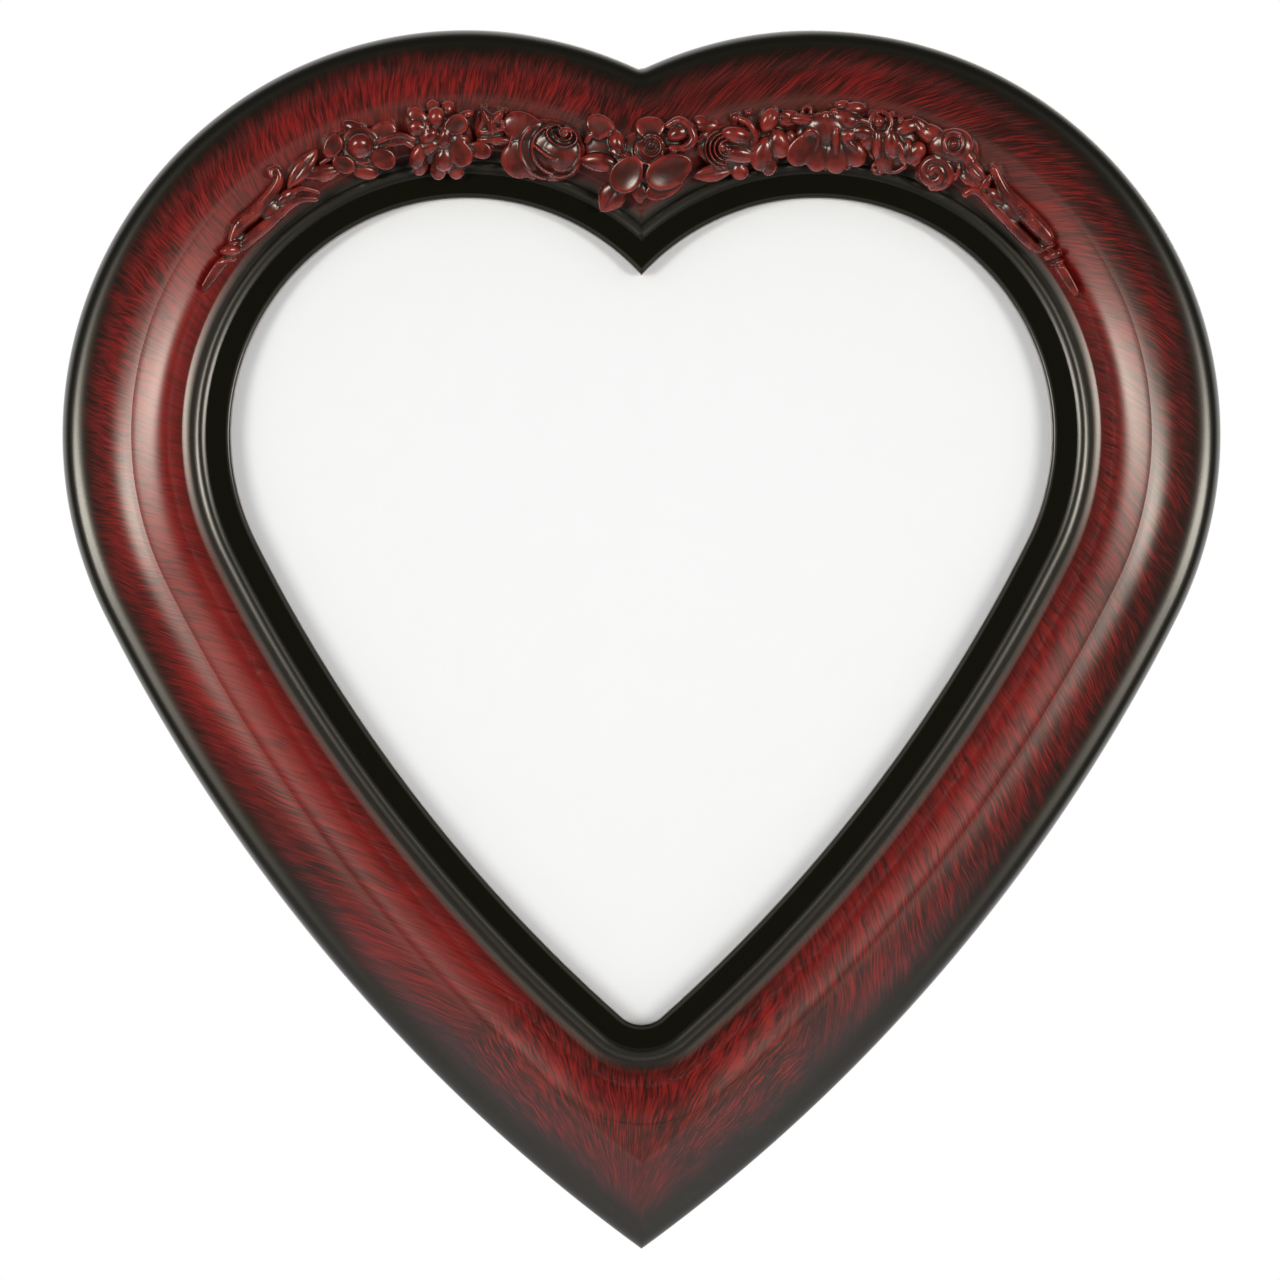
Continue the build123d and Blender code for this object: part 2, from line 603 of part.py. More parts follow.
scroll_perch = perch(RIGHT, *SCROLL_SPOT)
with BuildPart() as scroll:
    petal_rings(shifted(scroll_perch, *SCROLL_FLOWER_PLACE), SCROLL_FLOWER_RINGS)
    with Locations(shifted(scroll_perch, *SCROLL_PLACE)):
        Torus(SCROLL_RADIUS, SCROLL_WIRE_RADIUS)
        Sphere(SCROLL_EYE_RADIUS)
    petals(scroll_perch, SCROLL_PETALS)
    for piece in (moulding, bellflower):
        add(piece.part, mode=Mode.SUBTRACT)
    add(tails["right"], mode=Mode.SUBTRACT)
finish(scroll, "garland_scroll_right")
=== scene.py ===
"""Looks of a heart-shaped photo frame, modelled over the fixed frame of the part: the brushed
lacquer moulding, the cast garland, the glazing, the back's hardware and the studio.

The scene is in metres. Shapes are worked out in millimetres, X to the right, Z up and the front
towards -Y, and are brought to metres when a piece is done.
"""

from math import asin, atan2, cos, degrees, hypot, pi, radians, sin, sqrt, tan

import bmesh
import bpy
import numpy as np
from bpy.props import FloatProperty, FloatVectorProperty, PointerProperty
from mathutils import Matrix, Vector


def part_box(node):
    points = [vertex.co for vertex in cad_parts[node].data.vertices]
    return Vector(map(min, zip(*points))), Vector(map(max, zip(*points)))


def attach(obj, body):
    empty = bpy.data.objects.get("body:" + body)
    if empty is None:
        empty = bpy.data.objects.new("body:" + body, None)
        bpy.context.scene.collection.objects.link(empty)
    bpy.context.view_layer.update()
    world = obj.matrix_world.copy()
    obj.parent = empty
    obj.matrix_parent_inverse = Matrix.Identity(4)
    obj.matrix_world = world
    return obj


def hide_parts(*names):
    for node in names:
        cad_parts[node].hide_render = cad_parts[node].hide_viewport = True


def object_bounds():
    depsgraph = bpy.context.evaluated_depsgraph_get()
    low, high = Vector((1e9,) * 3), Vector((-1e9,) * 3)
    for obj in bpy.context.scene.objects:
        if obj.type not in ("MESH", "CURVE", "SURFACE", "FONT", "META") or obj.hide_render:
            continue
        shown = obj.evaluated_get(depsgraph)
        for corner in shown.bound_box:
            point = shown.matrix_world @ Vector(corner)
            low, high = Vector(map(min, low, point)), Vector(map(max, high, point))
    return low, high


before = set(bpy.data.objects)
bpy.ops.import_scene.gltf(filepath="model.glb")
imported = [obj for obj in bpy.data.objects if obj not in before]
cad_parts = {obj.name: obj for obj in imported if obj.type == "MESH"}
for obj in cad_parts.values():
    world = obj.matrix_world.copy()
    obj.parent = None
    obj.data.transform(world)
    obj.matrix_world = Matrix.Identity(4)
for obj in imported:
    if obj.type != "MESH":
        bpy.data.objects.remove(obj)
cad_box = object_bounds()

bl_info = {
    "name": "Heart photo frame",
    "version": (1, 0, 0),
    "blender": (4, 5, 0),
    "location": "View3D > Sidebar > Heart frame",
    "description": "Builds a heart-shaped photo frame with a brushed lacquer finish and a garland",
    "category": "Add Mesh",
}

MM = 0.001


def length(label, text, default):
    """A length setting in metres, given in millimetres."""
    return FloatProperty(name=label, description=text, default=default * MM, unit="LENGTH", precision=5)


def angle(label, text, default):
    """An angle setting, given in degrees."""
    return FloatProperty(name=label, description=text, default=radians(default), subtype="ANGLE")


def colour(label, text, default):
    """A colour setting, linear red, green and blue."""
    return FloatVectorProperty(name=label, description=text, default=default, subtype="COLOR",
                               min=0, max=1, size=3)


def number(label, text, default):
    """A plain number."""
    return FloatProperty(name=label, description=text, default=default, min=0)


class HeartSettings(bpy.types.PropertyGroup):
    """Outline and profile of the moulding."""

    sight_width: length("Sight width", "Width of the opening that the picture shows through", 292)
    lobe_radius: length("Lobe radius", "Radius of the sight edge round each lobe", 84)
    side_radius: length("Side radius", "Radius of the sight edge down each side", 560)
    lobe_end: angle("Lobe end", "Turn from straight up at which a lobe runs into its side", 116.5)
    tip_radius: length("Tip radius", "Radius of the sight edge at the tip", 11)
    notch_radius: length("Notch radius", "Radius of the outer edge at the notch", 4)
    drop: length("Drop", "Height of the wall hooks above the middle of the lobes", 54.0164)
    standoff: length("Stand-off", "Distance of the flat back from the wall", 5)
    side_height: length("Side height", "Height of the straight outer side", 8)
    shoulder_radius: length("Shoulder radius", "Radius of the outer shoulder", 8)
    bulge_rise: length("Bulge rise", "Height of the bulge above the shoulder", 10)
    bulge_radius: length("Bulge radius", "Radius of the bulge", 19.5)
    crown_land: length("Crown land", "Width of the flat along the crown", 0.9)
    cove_radius: length("Cove radius", "Radius of the cove inside the bulge", 3)
    valley: length("Valley", "Width of the flat between the cove and the reed", 0.8)
    reed_width: length("Reed width", "Width of the fine reed", 4.2)
    reed_rise: length("Reed rise", "Height of the fine reed", 0.9)
    lip_width: length("Lip width", "Width of the flat lip beside the opening", 8.9)
    lip_height: length("Lip height", "Height of the lip above the flat back", 13.5)
    sight_round: length("Sight round", "Rounding of the lip's inner edge", 1.2)
    back_chamfer: length("Back chamfer", "Chamfer of the outer edge at the back", 0.8)
    rebate_width: length("Rebate width", "Width of the step that holds the glazing", 6.5)
    rebate_depth: length("Rebate depth", "Depth of the step that holds the glazing", 6.1)
    sheet_play: length("Sheet play", "Play between the glazing and the rebate", 0.8)


class LacquerSettings(bpy.types.PropertyGroup):
    """Colours of the lacquer on the moulding and on the garland."""

    cherry: colour("Cherry", "Red of the brush strokes", (0.290, 0.0066, 0.0044))
    ground: colour("Ground", "Dark brown under the strokes", (0.030, 0.0052, 0.0030))
    black: colour("Black", "Black at the shoulder and from the cove inwards", (0.0056, 0.0058, 0.0030))
    # Brown haze painted on the moulding round the garland: partly a glaze, partly painted sheen and shade
    # that fall there.
    glaze_and_sheen: colour("Smoke", "Brown glaze on the moulding round the garland", (0.062, 0.021, 0.014))
    casting: colour("Casting", "Red of the garland", (0.235, 0.0200, 0.0125))
    crevice: colour("Crevice", "Dark glaze left in the hollows of the garland", (0.030, 0.0105, 0.0072))
    gloss: number("Roughness", "Roughness of the satin lacquer", 0.32)


class GarlandSettings(bpy.types.PropertyGroup):
    """Scale of the garland's drawing, and how finely its casting is fused."""

    unit: length("Drawing unit", "Length of one unit of the garland's drawing", 0.3541)
    middle_u: number("Middle across", "Place of the heart's middle on the drawing, from the left", 641.5)
    middle_v: number("Middle down", "Place of the heart's middle on the drawing, from the top", 639.5)
    grain: length("Grain", "Size of the grains that the casting is fused from", 0.27)
    root: length("Root", "Depth to which the casting reaches under the moulding's face", 7.0)


class StudioSettings(bpy.types.PropertyGroup):
    """Camera, lamps and background."""

    distance: length("Camera distance", "Distance of the camera from the wall", 3000)
    field: length("Field", "Width of the view at the frame", 455.6)
    lamp: number("Lamp", "Power of each of the two front lamps in watts", 24)
    back_lamp: number("Back lamp", "Power of the lamp behind the frame in watts", 14)
    glow: colour("Lamp colour", "Colour of the lamps' light", (1.0, 0.985, 0.90))
    fill: number("Fill", "Strength of the even light from all round", 0.47)
    paper: colour("Floor", "Colour of the floor", (0.82, 0.815, 0.80))


class FrameSettings(bpy.types.PropertyGroup):
    """All settings of the frame."""

    heart: PointerProperty(type=HeartSettings)
    lacquer: PointerProperty(type=LacquerSettings)
    garland: PointerProperty(type=GarlandSettings)
    studio: PointerProperty(type=StudioSettings)


class Socket:
    """An output of a node. Arithmetic on it adds Math nodes."""

    def __init__(self, paint, node, output=0):
        self.paint, self.node = paint, node
        self.output = node.outputs[output] if node.outputs else None

    def out(self, name):
        """Another output of the same node."""
        return Socket(self.paint, self.node, name)

    def math(self, operation, first, second=0.0):
        return self.paint.node("ShaderNodeMath", {"operation": operation}, {0: first, 1: second})

    def __add__(self, other):
        return self.math("ADD", self, other)

    def __sub__(self, other):
        return self.math("SUBTRACT", self, other)

    def __rsub__(self, other):
        return self.math("SUBTRACT", other, self)

    def __mul__(self, other):
        return self.math("MULTIPLY", self, other)

    def __pow__(self, other):
        return self.math("POWER", self, other)

    def most(self, other):
        """The larger of two values."""
        return self.math("MAXIMUM", self, other)

    def swing(self, reach):
        """A noise about its middle, as wide as the reach."""
        return (self - 0.5) * reach

    __radd__ = __add__
    __rmul__ = __mul__


class Paint:
    """The node tree of a finish while it is put together."""

    def __init__(self, tree):
        self.tree = tree
        tree.nodes.clear()

    def node(self, kind, settings=None, sockets=None, output=0):
        """Add a node: its settings first, then the values or links of its sockets."""
        node = self.tree.nodes.new(kind)
        for name, value in (settings or {}).items():
            setattr(node, name, value)
        for name, value in (sockets or {}).items():
            if isinstance(value, Socket):
                self.tree.links.new(value.output, node.inputs[name])
            else:
                node.inputs[name].default_value = value
        return Socket(self, node, output)

    def object_place(self):
        """Object coordinates, in metres."""
        return self.node("ShaderNodeTexCoord", output="Object")

    def parts(self, vector):
        """The three parts of a vector."""
        split = self.node("ShaderNodeSeparateXYZ", None, {0: vector})
        return [split.out(axis) for axis in "XYZ"]

    def uv(self, name):
        """The two parts of one of the piece's own maps."""
        return self.parts(self.node("ShaderNodeUVMap", {"uv_map": name}))[:2]

    def noise(self, vector, scale, detail=2.0, roughness=0.5, distortion=0.0):
        """A noise at one scale, or at a scale for each axis."""
        if isinstance(scale, tuple):
            vector = self.node("ShaderNodeVectorMath", {"operation": "MULTIPLY"}, {0: vector, 1: scale})
            scale = 1.0
        return self.node("ShaderNodeTexNoise", None, {
            "Vector": vector, "Scale": scale, "Detail": detail, "Roughness": roughness,
            "Distortion": distortion})

    def ease(self, value, start, end, low=0.0, high=1.0):
        """A smooth step from one level to another."""
        return self.node("ShaderNodeMapRange", {"interpolation_type": "SMOOTHSTEP"}, {
            "Value": value, "From Min": start, "From Max": end, "To Min": low, "To Max": high})

    def band(self, value, start, full, fade, end):
        """A smooth rise to 1 and a smooth fall back to 0."""
        return self.ease(value, start, full) * self.ease(value, end, fade)

    def mix(self, share, first, second):
        """A colour between two colours."""
        first, second = [(*c, 1.0) if isinstance(c, tuple) else c for c in (first, second)]
        return self.node("ShaderNodeMix", {"data_type": "RGBA"}, {0: share, 6: first, 7: second}, 2)

    def blend(self, share, first, second):
        """A value between two values."""
        return self.node("ShaderNodeMix", {"data_type": "FLOAT"}, {0: share, 2: first, 3: second})

    def bump(self, height, strength, distance):
        return self.node("ShaderNodeBump", None, {
            "Height": height, "Strength": strength, "Distance": distance})

    def surface(self, shader, kind="ShaderNodeOutputMaterial"):
        """Make a shader the surface of the finish, or of the world."""
        self.node(kind, None, {"Surface": shader})

    def lacquer(self, **sockets):
        """A Principled surface, with its sockets by name."""
        named = {name.replace("_", " "): value for name, value in sockets.items()}
        self.surface(self.node("ShaderNodeBsdfPrincipled", None, named))


def finish(name):
    """A new material and its paint."""
    material = bpy.data.materials.new(name)
    material.use_nodes = True
    return material, Paint(material.node_tree)


def brushed_lacquer(colours):
    """Cherry brush strokes over dark brown, shaded to black at the shoulder and inside the cove.

    Places are in millimetres: across from the outer edge inwards, along from the top of a lobe."""
    material, paint = finish("brushed_cherry_lacquer")
    across, along = [part * 100.0 for part in paint.uv("bands")]
    place = paint.object_place()
    sway = paint.noise(place, 38.0, 1.0)
    drift = paint.noise(place, 120.0, 1.0)
    cloud = paint.noise(place, 22.0, 1.5)
    near_tip = paint.ease(along + sway.swing(40.0), 424.0, 448.0)
    layers = []
    for name in ("strokes", "fan"):
        lane, run = paint.uv(name)
        lane = lane + sway.swing(0.070) + drift.swing(0.014)
        bristle = paint.node("ShaderNodeCombineXYZ", None, {0: lane, 1: run})
        layers.append([
            paint.noise(bristle, (290.0, 17.0, 0.0), 2.5, 0.6),
            paint.noise(bristle, (140.0, 10.0, 0.0), 2.0, 0.55),
            paint.noise(bristle, (28.0, 7.0, 0.0), 1.5, 0.5)])
    fine, broad, patch = [paint.blend(near_tip, arm, tip) for arm, tip in zip(*layers)]
    load = fine * 0.58 + broad * 0.42 + patch.swing(0.20) + cloud.swing(0.16)
    # The strokes thin out from left to right, so the left side is painted redder and brighter: painted
    # light, standing in for more light falling from the left.
    load = load + paint.ease(across, 23.0, 31.0, 0.0, 0.07) - paint.parts(place)[0] * 0.20
    load = load - paint.ease(along, 395.0, 445.0, 0.0, 0.05)
    wander = cloud.swing(4.0) + patch.swing(3.0)
    outer = paint.ease(across + wander - paint.ease(along, 395.0, 450.0, 0.0, 2.0), 5.0, 17.0)
    inner = 1.0 - paint.ease(across + wander * 0.6, 40.0, 46.0)
    covered = outer * inner
    ground = paint.mix(covered, tuple(colours.black), tuple(colours.ground))
    deep = tuple(c * 0.62 for c in colours.cherry)
    red = paint.mix(paint.ease(broad, 0.35, 0.65), deep, tuple(colours.cherry))
    skin = paint.mix(paint.ease(load, 0.39, 0.63) * covered, ground, red)
    # Painted sheen and shade with a brown glaze: the moulding round the garland is hazed brown, broken up
    # by the cloud.
    glaze_and_sheen = paint.ease(across, 20.0, 31.0) * paint.ease(along, 128.0, 60.0) * covered
    glaze_and_sheen = glaze_and_sheen * paint.ease(cloud + fine * 0.4, 0.45, 0.85, 0.9, 0.35)
    skin = paint.mix(glaze_and_sheen, skin, tuple(colours.glaze_and_sheen))
    dust = paint.noise(place, 900.0, 1.0)
    crest = paint.band(across, 23.0, 24.3, 24.7, 26.0)
    flank = paint.band(across, 37.5, 39.5, 41.5, 43.5)
    lip = paint.band(across, 51.0, 51.6, 58.0, 58.6)
    grain = fine.swing(0.06) + dust.swing(0.03)
    paint.lacquer(
        Base_Color=skin,
        Roughness=grain + colours.gloss - lip * 0.18 + flank * 0.25 + crest * 0.12,
        IOR=1.54,
        Specular_Tint=(1.0, 0.90, 0.80, 1.0),
        Coat_Weight=(1.0 - lip) * (1.0 - flank * 0.85),
        Coat_Roughness=0.29,
        Coat_IOR=1.54,
        Coat_Tint=(1.0, 0.97, 0.94, 1.0),
        Normal=paint.bump(fine * covered, 0.03, 0.0001),
    )
    return material


def bare_wood():
    """Pale sanded wood with a straight grain, at the back and in the rebate."""
    material, paint = finish("bare_wood")
    place = paint.object_place()
    rings = paint.noise(place, (60.0, 400.0, 9.0), 3.0, 0.6, 0.4)
    pores = paint.noise(place, (900.0, 900.0, 60.0), 1.0)
    smudge = paint.noise(place, 14.0, 2.0)
    late_wood = paint.ease(rings + smudge.swing(0.3), 0.35, 0.7)
    skin = paint.mix(late_wood, (0.52, 0.36, 0.21), (0.36, 0.22, 0.11))
    skin = paint.mix(paint.ease(pores, 0.62, 0.75, 0.0, 0.5), skin, (0.20, 0.115, 0.055))
    paint.lacquer(Base_Color=skin, Roughness=paint.ease(rings, 0.3, 0.7, 0.62, 0.78),
                  Normal=paint.bump(pores * 0.6 + rings * 0.4, 0.25, 0.0002))
    return material


def cast_lacquer(colours):
    """Glossy cherry lacquer on the casting, with a dark glaze left in its hollows."""
    material, paint = finish("cast_cherry_lacquer")
    place = paint.object_place()
    hollow = paint.node("ShaderNodeAttribute", {"attribute_name": "crevice"}, output="Fac")
    cloud = paint.noise(place, 160.0, 2.0)
    streak = paint.noise(place, (700.0, 700.0, 260.0), 2.0)
    deep = tuple(c * 0.36 for c in colours.casting)
    red = paint.mix(paint.ease(cloud + streak.swing(0.35), 0.34, 0.64), deep, tuple(colours.casting))
    glaze = paint.ease(hollow + cloud.swing(0.5), -0.55, 0.50)
    skin = paint.mix(glaze, red, tuple(colours.crevice))
    worn = paint.ease(0.0 - hollow, 0.5, 1.6, 0.0, 0.25)
    skin = paint.mix(worn, skin, (0.26, 0.030, 0.022))
    paint.lacquer(
        Base_Color=skin,
        Roughness=paint.ease(hollow, -0.5, 0.8, 0.24, 0.36) + cloud.swing(0.05),
        IOR=1.55,
        Specular_Tint=(1.0, 0.95, 0.88, 1.0),
        Coat_Weight=paint.ease(hollow, -0.4, 0.9, 0.8, 0.3),
        Coat_Roughness=0.22,
        Coat_IOR=1.5,
        Normal=paint.bump(cloud * 0.5 + streak * 0.5, 0.06, 0.0002),
    )
    return material


def clear_glass():
    """Thin clear glass that lets the lamps' light through to the card."""
    material, paint = finish("clear_glass")
    smear = paint.noise(paint.object_place(), 9.0, 3.0, 0.6)
    glass = paint.node("ShaderNodeBsdfPrincipled", None, {
        "Base Color": (0.985, 0.995, 0.99, 1.0), "Transmission Weight": 1.0, "IOR": 1.5,
        "Roughness": paint.ease(smear, 0.45, 0.75, 0.0, 0.02)})
    open_way = paint.node("ShaderNodeBsdfTransparent")
    path = paint.node("ShaderNodeLightPath")
    paint.surface(paint.node("ShaderNodeMixShader", None, {
        0: path.out("Is Shadow Ray").most(path.out("Is Diffuse Ray")), 1: glass, 2: open_way}))
    return material


def white_card():
    """Plain white card with a faint tooth."""
    material, paint = finish("white_card")
    place = paint.object_place()
    tooth = paint.noise(place, 1600.0, 2.0, 0.6)
    pulp = paint.noise(place, 60.0, 3.0)
    paint.lacquer(
        Base_Color=paint.mix(paint.ease(pulp, 0.3, 0.7), (0.982, 0.982, 0.980), (0.987, 0.987, 0.985)),
        Roughness=paint.ease(tooth, 0.3, 0.7, 0.85, 0.95),
        Normal=paint.bump(tooth, 0.08, 0.00008))
    return material


def hardboard():
    """Brown pressed-fibre board with its woven back face."""
    material, paint = finish("brown_hardboard")
    place = paint.object_place()
    fibre = paint.noise(place, (420.0, 420.0, 160.0), 4.0, 0.65, 0.8)
    fleck = paint.noise(place, 900.0, 2.0, 0.7)
    smudge = paint.noise(place, 11.0, 3.0)
    weft, warp = [paint.node("ShaderNodeTexWave", {"bands_direction": axis}, {
        "Vector": place, "Scale": 190.0}) for axis in "XZ"]
    weave = weft * warp
    pale = paint.ease(fibre + smudge.swing(0.4), 0.3, 0.72)
    skin = paint.mix(pale, (0.15, 0.082, 0.042), (0.27, 0.16, 0.088))
    skin = paint.mix(paint.ease(fleck, 0.60, 0.78, 0.0, 0.6), skin, (0.40, 0.27, 0.16))
    skin = paint.mix(weave * 0.35, skin, (0.11, 0.06, 0.03))
    paint.lacquer(Base_Color=skin, Roughness=paint.ease(fibre, 0.3, 0.7, 0.60, 0.82),
                  Normal=paint.bump(weave * 0.6 + fibre * 0.4, 0.35, 0.0003))
    return material


def zinc_plate(name, streaks):
    """Zinc-plated steel with a cloudy spangle and fine streaks, given by their scale on each axis."""
    material, paint = finish(name)
    place = paint.object_place()
    brush = paint.noise(place, streaks, 2.0, 0.6)
    spangle = paint.node("ShaderNodeTexVoronoi", None, {"Vector": place, "Scale": 420.0}, "Color")
    cloud = paint.noise(place, 240.0, 3.0, 0.6)
    facet = paint.parts(spangle)[0]
    shade = paint.ease(cloud * 0.6 + facet * 0.25 + brush * 0.3, 0.35, 0.85)
    skin = paint.mix(shade, (0.46, 0.46, 0.45), (0.72, 0.72, 0.70))
    paint.lacquer(Base_Color=skin, Metallic=1.0,
                  Roughness=paint.ease(brush + facet.swing(0.2), 0.25, 0.75, 0.26, 0.44),
                  Normal=paint.bump(brush, 0.12, 0.00006))
    return material


def black_rubber():
    """Matt moulded rubber with a fine pebble grain and a dusty bloom."""
    material, paint = finish("black_rubber")
    place = paint.object_place()
    pebble = paint.node("ShaderNodeTexVoronoi", None, {"Vector": place, "Scale": 1500.0})
    bloom = paint.noise(place, 260.0, 3.0)
    dusty = paint.ease(bloom, 0.35, 0.75)
    paint.lacquer(Base_Color=paint.mix(dusty, (0.018, 0.018, 0.018), (0.05, 0.049, 0.047)),
                  Roughness=paint.ease(bloom, 0.3, 0.7, 0.62, 0.82),
                  Normal=paint.bump(pebble, 0.25, 0.0002))
    return material


# Rounding along the crown, where the two slopes start: its radius, how far its middle lies past the
# end of its zone, its turn in degrees and its facets
RIDGE_RADIUS = 0.3
RIDGE_SHIFT = 0.42
RIDGE_TURN = 14
RIDGE_STEPS = 3

# Tilts in degrees, evenly spaced on the way down, of the slopes beside the crown and of the cove's bed
OUTER_TILTS = (10.5, 16.5, 18.5, 22.5, 28.5, 34.5, 37.5, 36, 31, 22, 12)
INNER_TILTS = (10.5, 15.8, 17, 18.2, 20.5, 24.5, 31, 41, 52, 58, 50)
BED_TILTS = (30, 20, 18, 16.5, 15, 10, 0)
SLOPE_STEPS = 34
BED_STEPS = 12

# Shares of the solid's sizes that the finer profile has: the shoulder's radius, the cove's radius, the
# bed's width and rise on that radius, and the part of the reed's rise that stands upright
SHOULDER_SHARE = 0.78
COVE_SHARE = 2.45
BED_WIDTH = 0.5
BED_RISE = 0.134
REED_STEP = 0.38

# Width in millimetres by which the bed runs on under the valley
BED_OVERLAP = 0.1

# Usual length of a facet along the moulding, taken at this distance across it, and along a sheet's edge
FACET = 2.2
FACET_ACROSS = 25
SHEET_FACET = 4

# Distances in millimetres within which points are welded, lie on the middle or lie on one level
WELD = 0.004
SHEET_WELD = 0.01
ON_MIDDLE = 0.003
ON_PLANE = 0.0005
ON_LEVEL = 0.01

# Gap between the two rims at the back above which it is cut up, and the number of cuts
WIDE_GAP = 2.0
GAP_CUTS = 6


def smooth_step(value, start, end):
    """A smooth rise from 0 to 1 between two values."""
    share = np.clip((value - start) / (end - start), 0, 1)
    return share**2 * (3 - 2 * share)


def toward(turn):
    """Unit vector in the plane of the frame, at a turn in degrees from straight up."""
    return Vector((sin(radians(turn)), 0.0, cos(radians(turn))))


def arc(centre, radius, start, end, steps):
    """Points of a profile's arc: distance and height, its angles turning from inwards to the front."""
    return [(centre[0] + radius * cos(radians(start + (end - start) * i / steps)),
             centre[1] + radius * sin(radians(start + (end - start) * i / steps)))
            for i in range(steps + 1)]


def slide(start, end, tilts, steps):
    """Points of a fall between two points of a profile, tilted by evenly spaced degrees on its way.

    What the tilts leave of the drop is made up smoothly over the lower part."""
    run, drop = end[0] - start[0], start[1] - end[1]
    share = np.linspace(0, 1, steps + 1)
    slope = np.tan(np.radians(np.interp(share, np.linspace(0, 1, len(tilts)), tilts))) * abs(run)
    fall = np.append(0, np.cumsum(slope[1:] + slope[:-1]) / 2 / steps)
    fall += (drop - fall[-1]) * smooth_step(share, 0.4, 1.0)
    return [(start[0] + run * t, start[1] - f) for t, f in zip(share.tolist(), fall.tolist())]


class Heart:
    """Outline and profile of the moulding in millimetres, worked out from the settings."""

    def __init__(self, s):
        for name in HeartSettings.__annotations__:
            setattr(self, name, getattr(s, name) / MM)
        self.lobe_end = degrees(s.lobe_end)
        self.back = -self.standoff
        self.shoulder_height = self.side_height + self.shoulder_radius
        self.crown = self.shoulder_height + self.bulge_rise
        self.bulge_centre = self.crown - self.bulge_radius
        self.outer_zone = self.shoulder_radius + sqrt(
            self.bulge_radius**2 - (self.bulge_radius - self.bulge_rise) ** 2)
        self.cove_offset = self.lip_width + self.reed_width + self.valley
        self.cove_height = self.lip_height + self.cove_radius
        self.cove_drop = self.cove_height - self.bulge_centre
        self.inner_zone = self.cove_offset + sqrt(
            (self.bulge_radius + self.cove_radius) ** 2 - self.cove_drop**2)
        self.width = self.outer_zone + self.crown_land + self.inner_zone
        self.lobe_x = self.sight_width / 2 - self.lobe_radius
        self.lobe = Vector((self.lobe_x, self.back, -self.drop))
        self.side = self.lobe + toward(self.lobe_end) * (self.lobe_radius - self.side_radius)
        reach = self.side_radius - self.tip_radius
        self.tip = Vector((0, self.back, self.side.z - sqrt(reach**2 - self.side.x**2)))
        self.tip_start = 180 - degrees(asin(-self.side.x / reach))
        reach = self.lobe_radius + self.width + self.notch_radius
        self.notch = Vector((0, self.back, self.lobe.z + sqrt(reach**2 - self.lobe_x**2)))
        self.notch_turn = degrees(asin(self.lobe_x / reach))
        self.outer_points, self.inner_points = self.outer_profile(), self.inner_profile()

    def lobe_start(self, offset):
        """Turn at which the lobe's arc at this offset from the sight meets the middle."""
        return -degrees(asin(self.lobe_x / (self.lobe_radius + offset)))

    def side_stop(self, offset):
        """Turn at which the side's arc at this offset from the sight meets the middle."""
        return 180 - degrees(asin(-self.side.x / (self.side_radius + offset)))

    def ridge(self, zone):
        """The rounding along the crown at the end of a zone."""
        middle = zone + RIDGE_SHIFT, self.crown - RIDGE_RADIUS
        return arc(middle, RIDGE_RADIUS, 90, 90 + RIDGE_TURN, RIDGE_STEPS)

    def outer_profile(self):
        """Ridge, outer slope, shoulder and side wall, by distance from the outer edge."""
        ridge = self.ridge(self.outer_zone)
        tight = self.shoulder_radius * SHOULDER_SHARE
        shoulder = arc((tight, self.shoulder_height - tight), tight, 102, 180, 14)
        return [
            *ridge, *slide(ridge[-1], shoulder[0], OUTER_TILTS, SLOPE_STEPS)[1:], *shoulder[1:],
            (0, self.side_height * 0.5), (0, self.back_chamfer), (self.back_chamfer, 0),
            (self.outer_zone, 0),
        ]

    def inner_profile(self):
        """Ridge, inner slope, cove, reed, lip and rebate, by distance from the sight."""
        cove = self.cove_radius * COVE_SHARE
        end = (self.cove_offset - BED_OVERLAP, self.lip_height)
        bed = slide((end[0] + cove * BED_WIDTH, end[1] + cove * BED_RISE), end, BED_TILTS, BED_STEPS)
        ridge = self.ridge(self.inner_zone)
        slope = slide(ridge[-1], bed[0], INNER_TILTS, SLOPE_STEPS)
        step, half = self.reed_rise * REED_STEP, self.reed_width / 2
        reed = (half**2 + (self.reed_rise - step) ** 2) / (2 * (self.reed_rise - step))
        swing = degrees(asin(half / reed))
        top = self.lip_height
        return [
            *ridge, *slope[1:], *bed[1:], (self.lip_width + self.reed_width, top),
            *arc((self.lip_width + half, top + self.reed_rise - reed), reed, 90 - swing, 90 + swing, 10),
            (self.lip_width, top), (self.lip_width * 0.5, top),
            *arc((self.sight_round, top - self.sight_round), self.sight_round, 90, 180, 6),
            (0, self.rebate_depth), (self.rebate_width, self.rebate_depth), (self.rebate_width, 0),
            (self.inner_zone, 0),
        ]

    def along(self, x, z):
        """Length along the crown from the top of a lobe, for a point of the front view."""
        pace = radians(1) * (self.lobe_radius + self.inner_zone)
        turn = degrees(atan2(abs(x) - self.lobe_x, z - self.lobe.z))
        if -90 < turn <= self.lobe_end:
            return turn * pace
        turn = degrees(atan2(abs(x) - self.side.x, z - self.side.z))
        return self.lobe_end * pace + radians(turn - self.lobe_end) * (self.side_radius + self.inner_zone)

    def face(self, x, z):
        """Height of the ground that the garland lies on, for arrays of points of the front view.

        It falls off on both sides of the crown, flatter than the bulge and evenly further out, and a
        saddle rounds it off at the middle."""
        saddle, curved, flatter, even = 5.0, 10.5, 0.55, 0.35
        offset = np.hypot(np.hypot(x, saddle) - self.lobe_x, z - self.lobe.z) - self.lobe_radius
        past_crown = offset - self.inner_zone - self.crown_land
        reach = np.maximum(0, np.maximum(self.inner_zone - offset, past_crown))
        near = np.minimum(reach, curved)
        drop = self.bulge_radius - np.sqrt(self.bulge_radius**2 - near**2)
        return self.crown - drop * flatter - (reach - near) * even


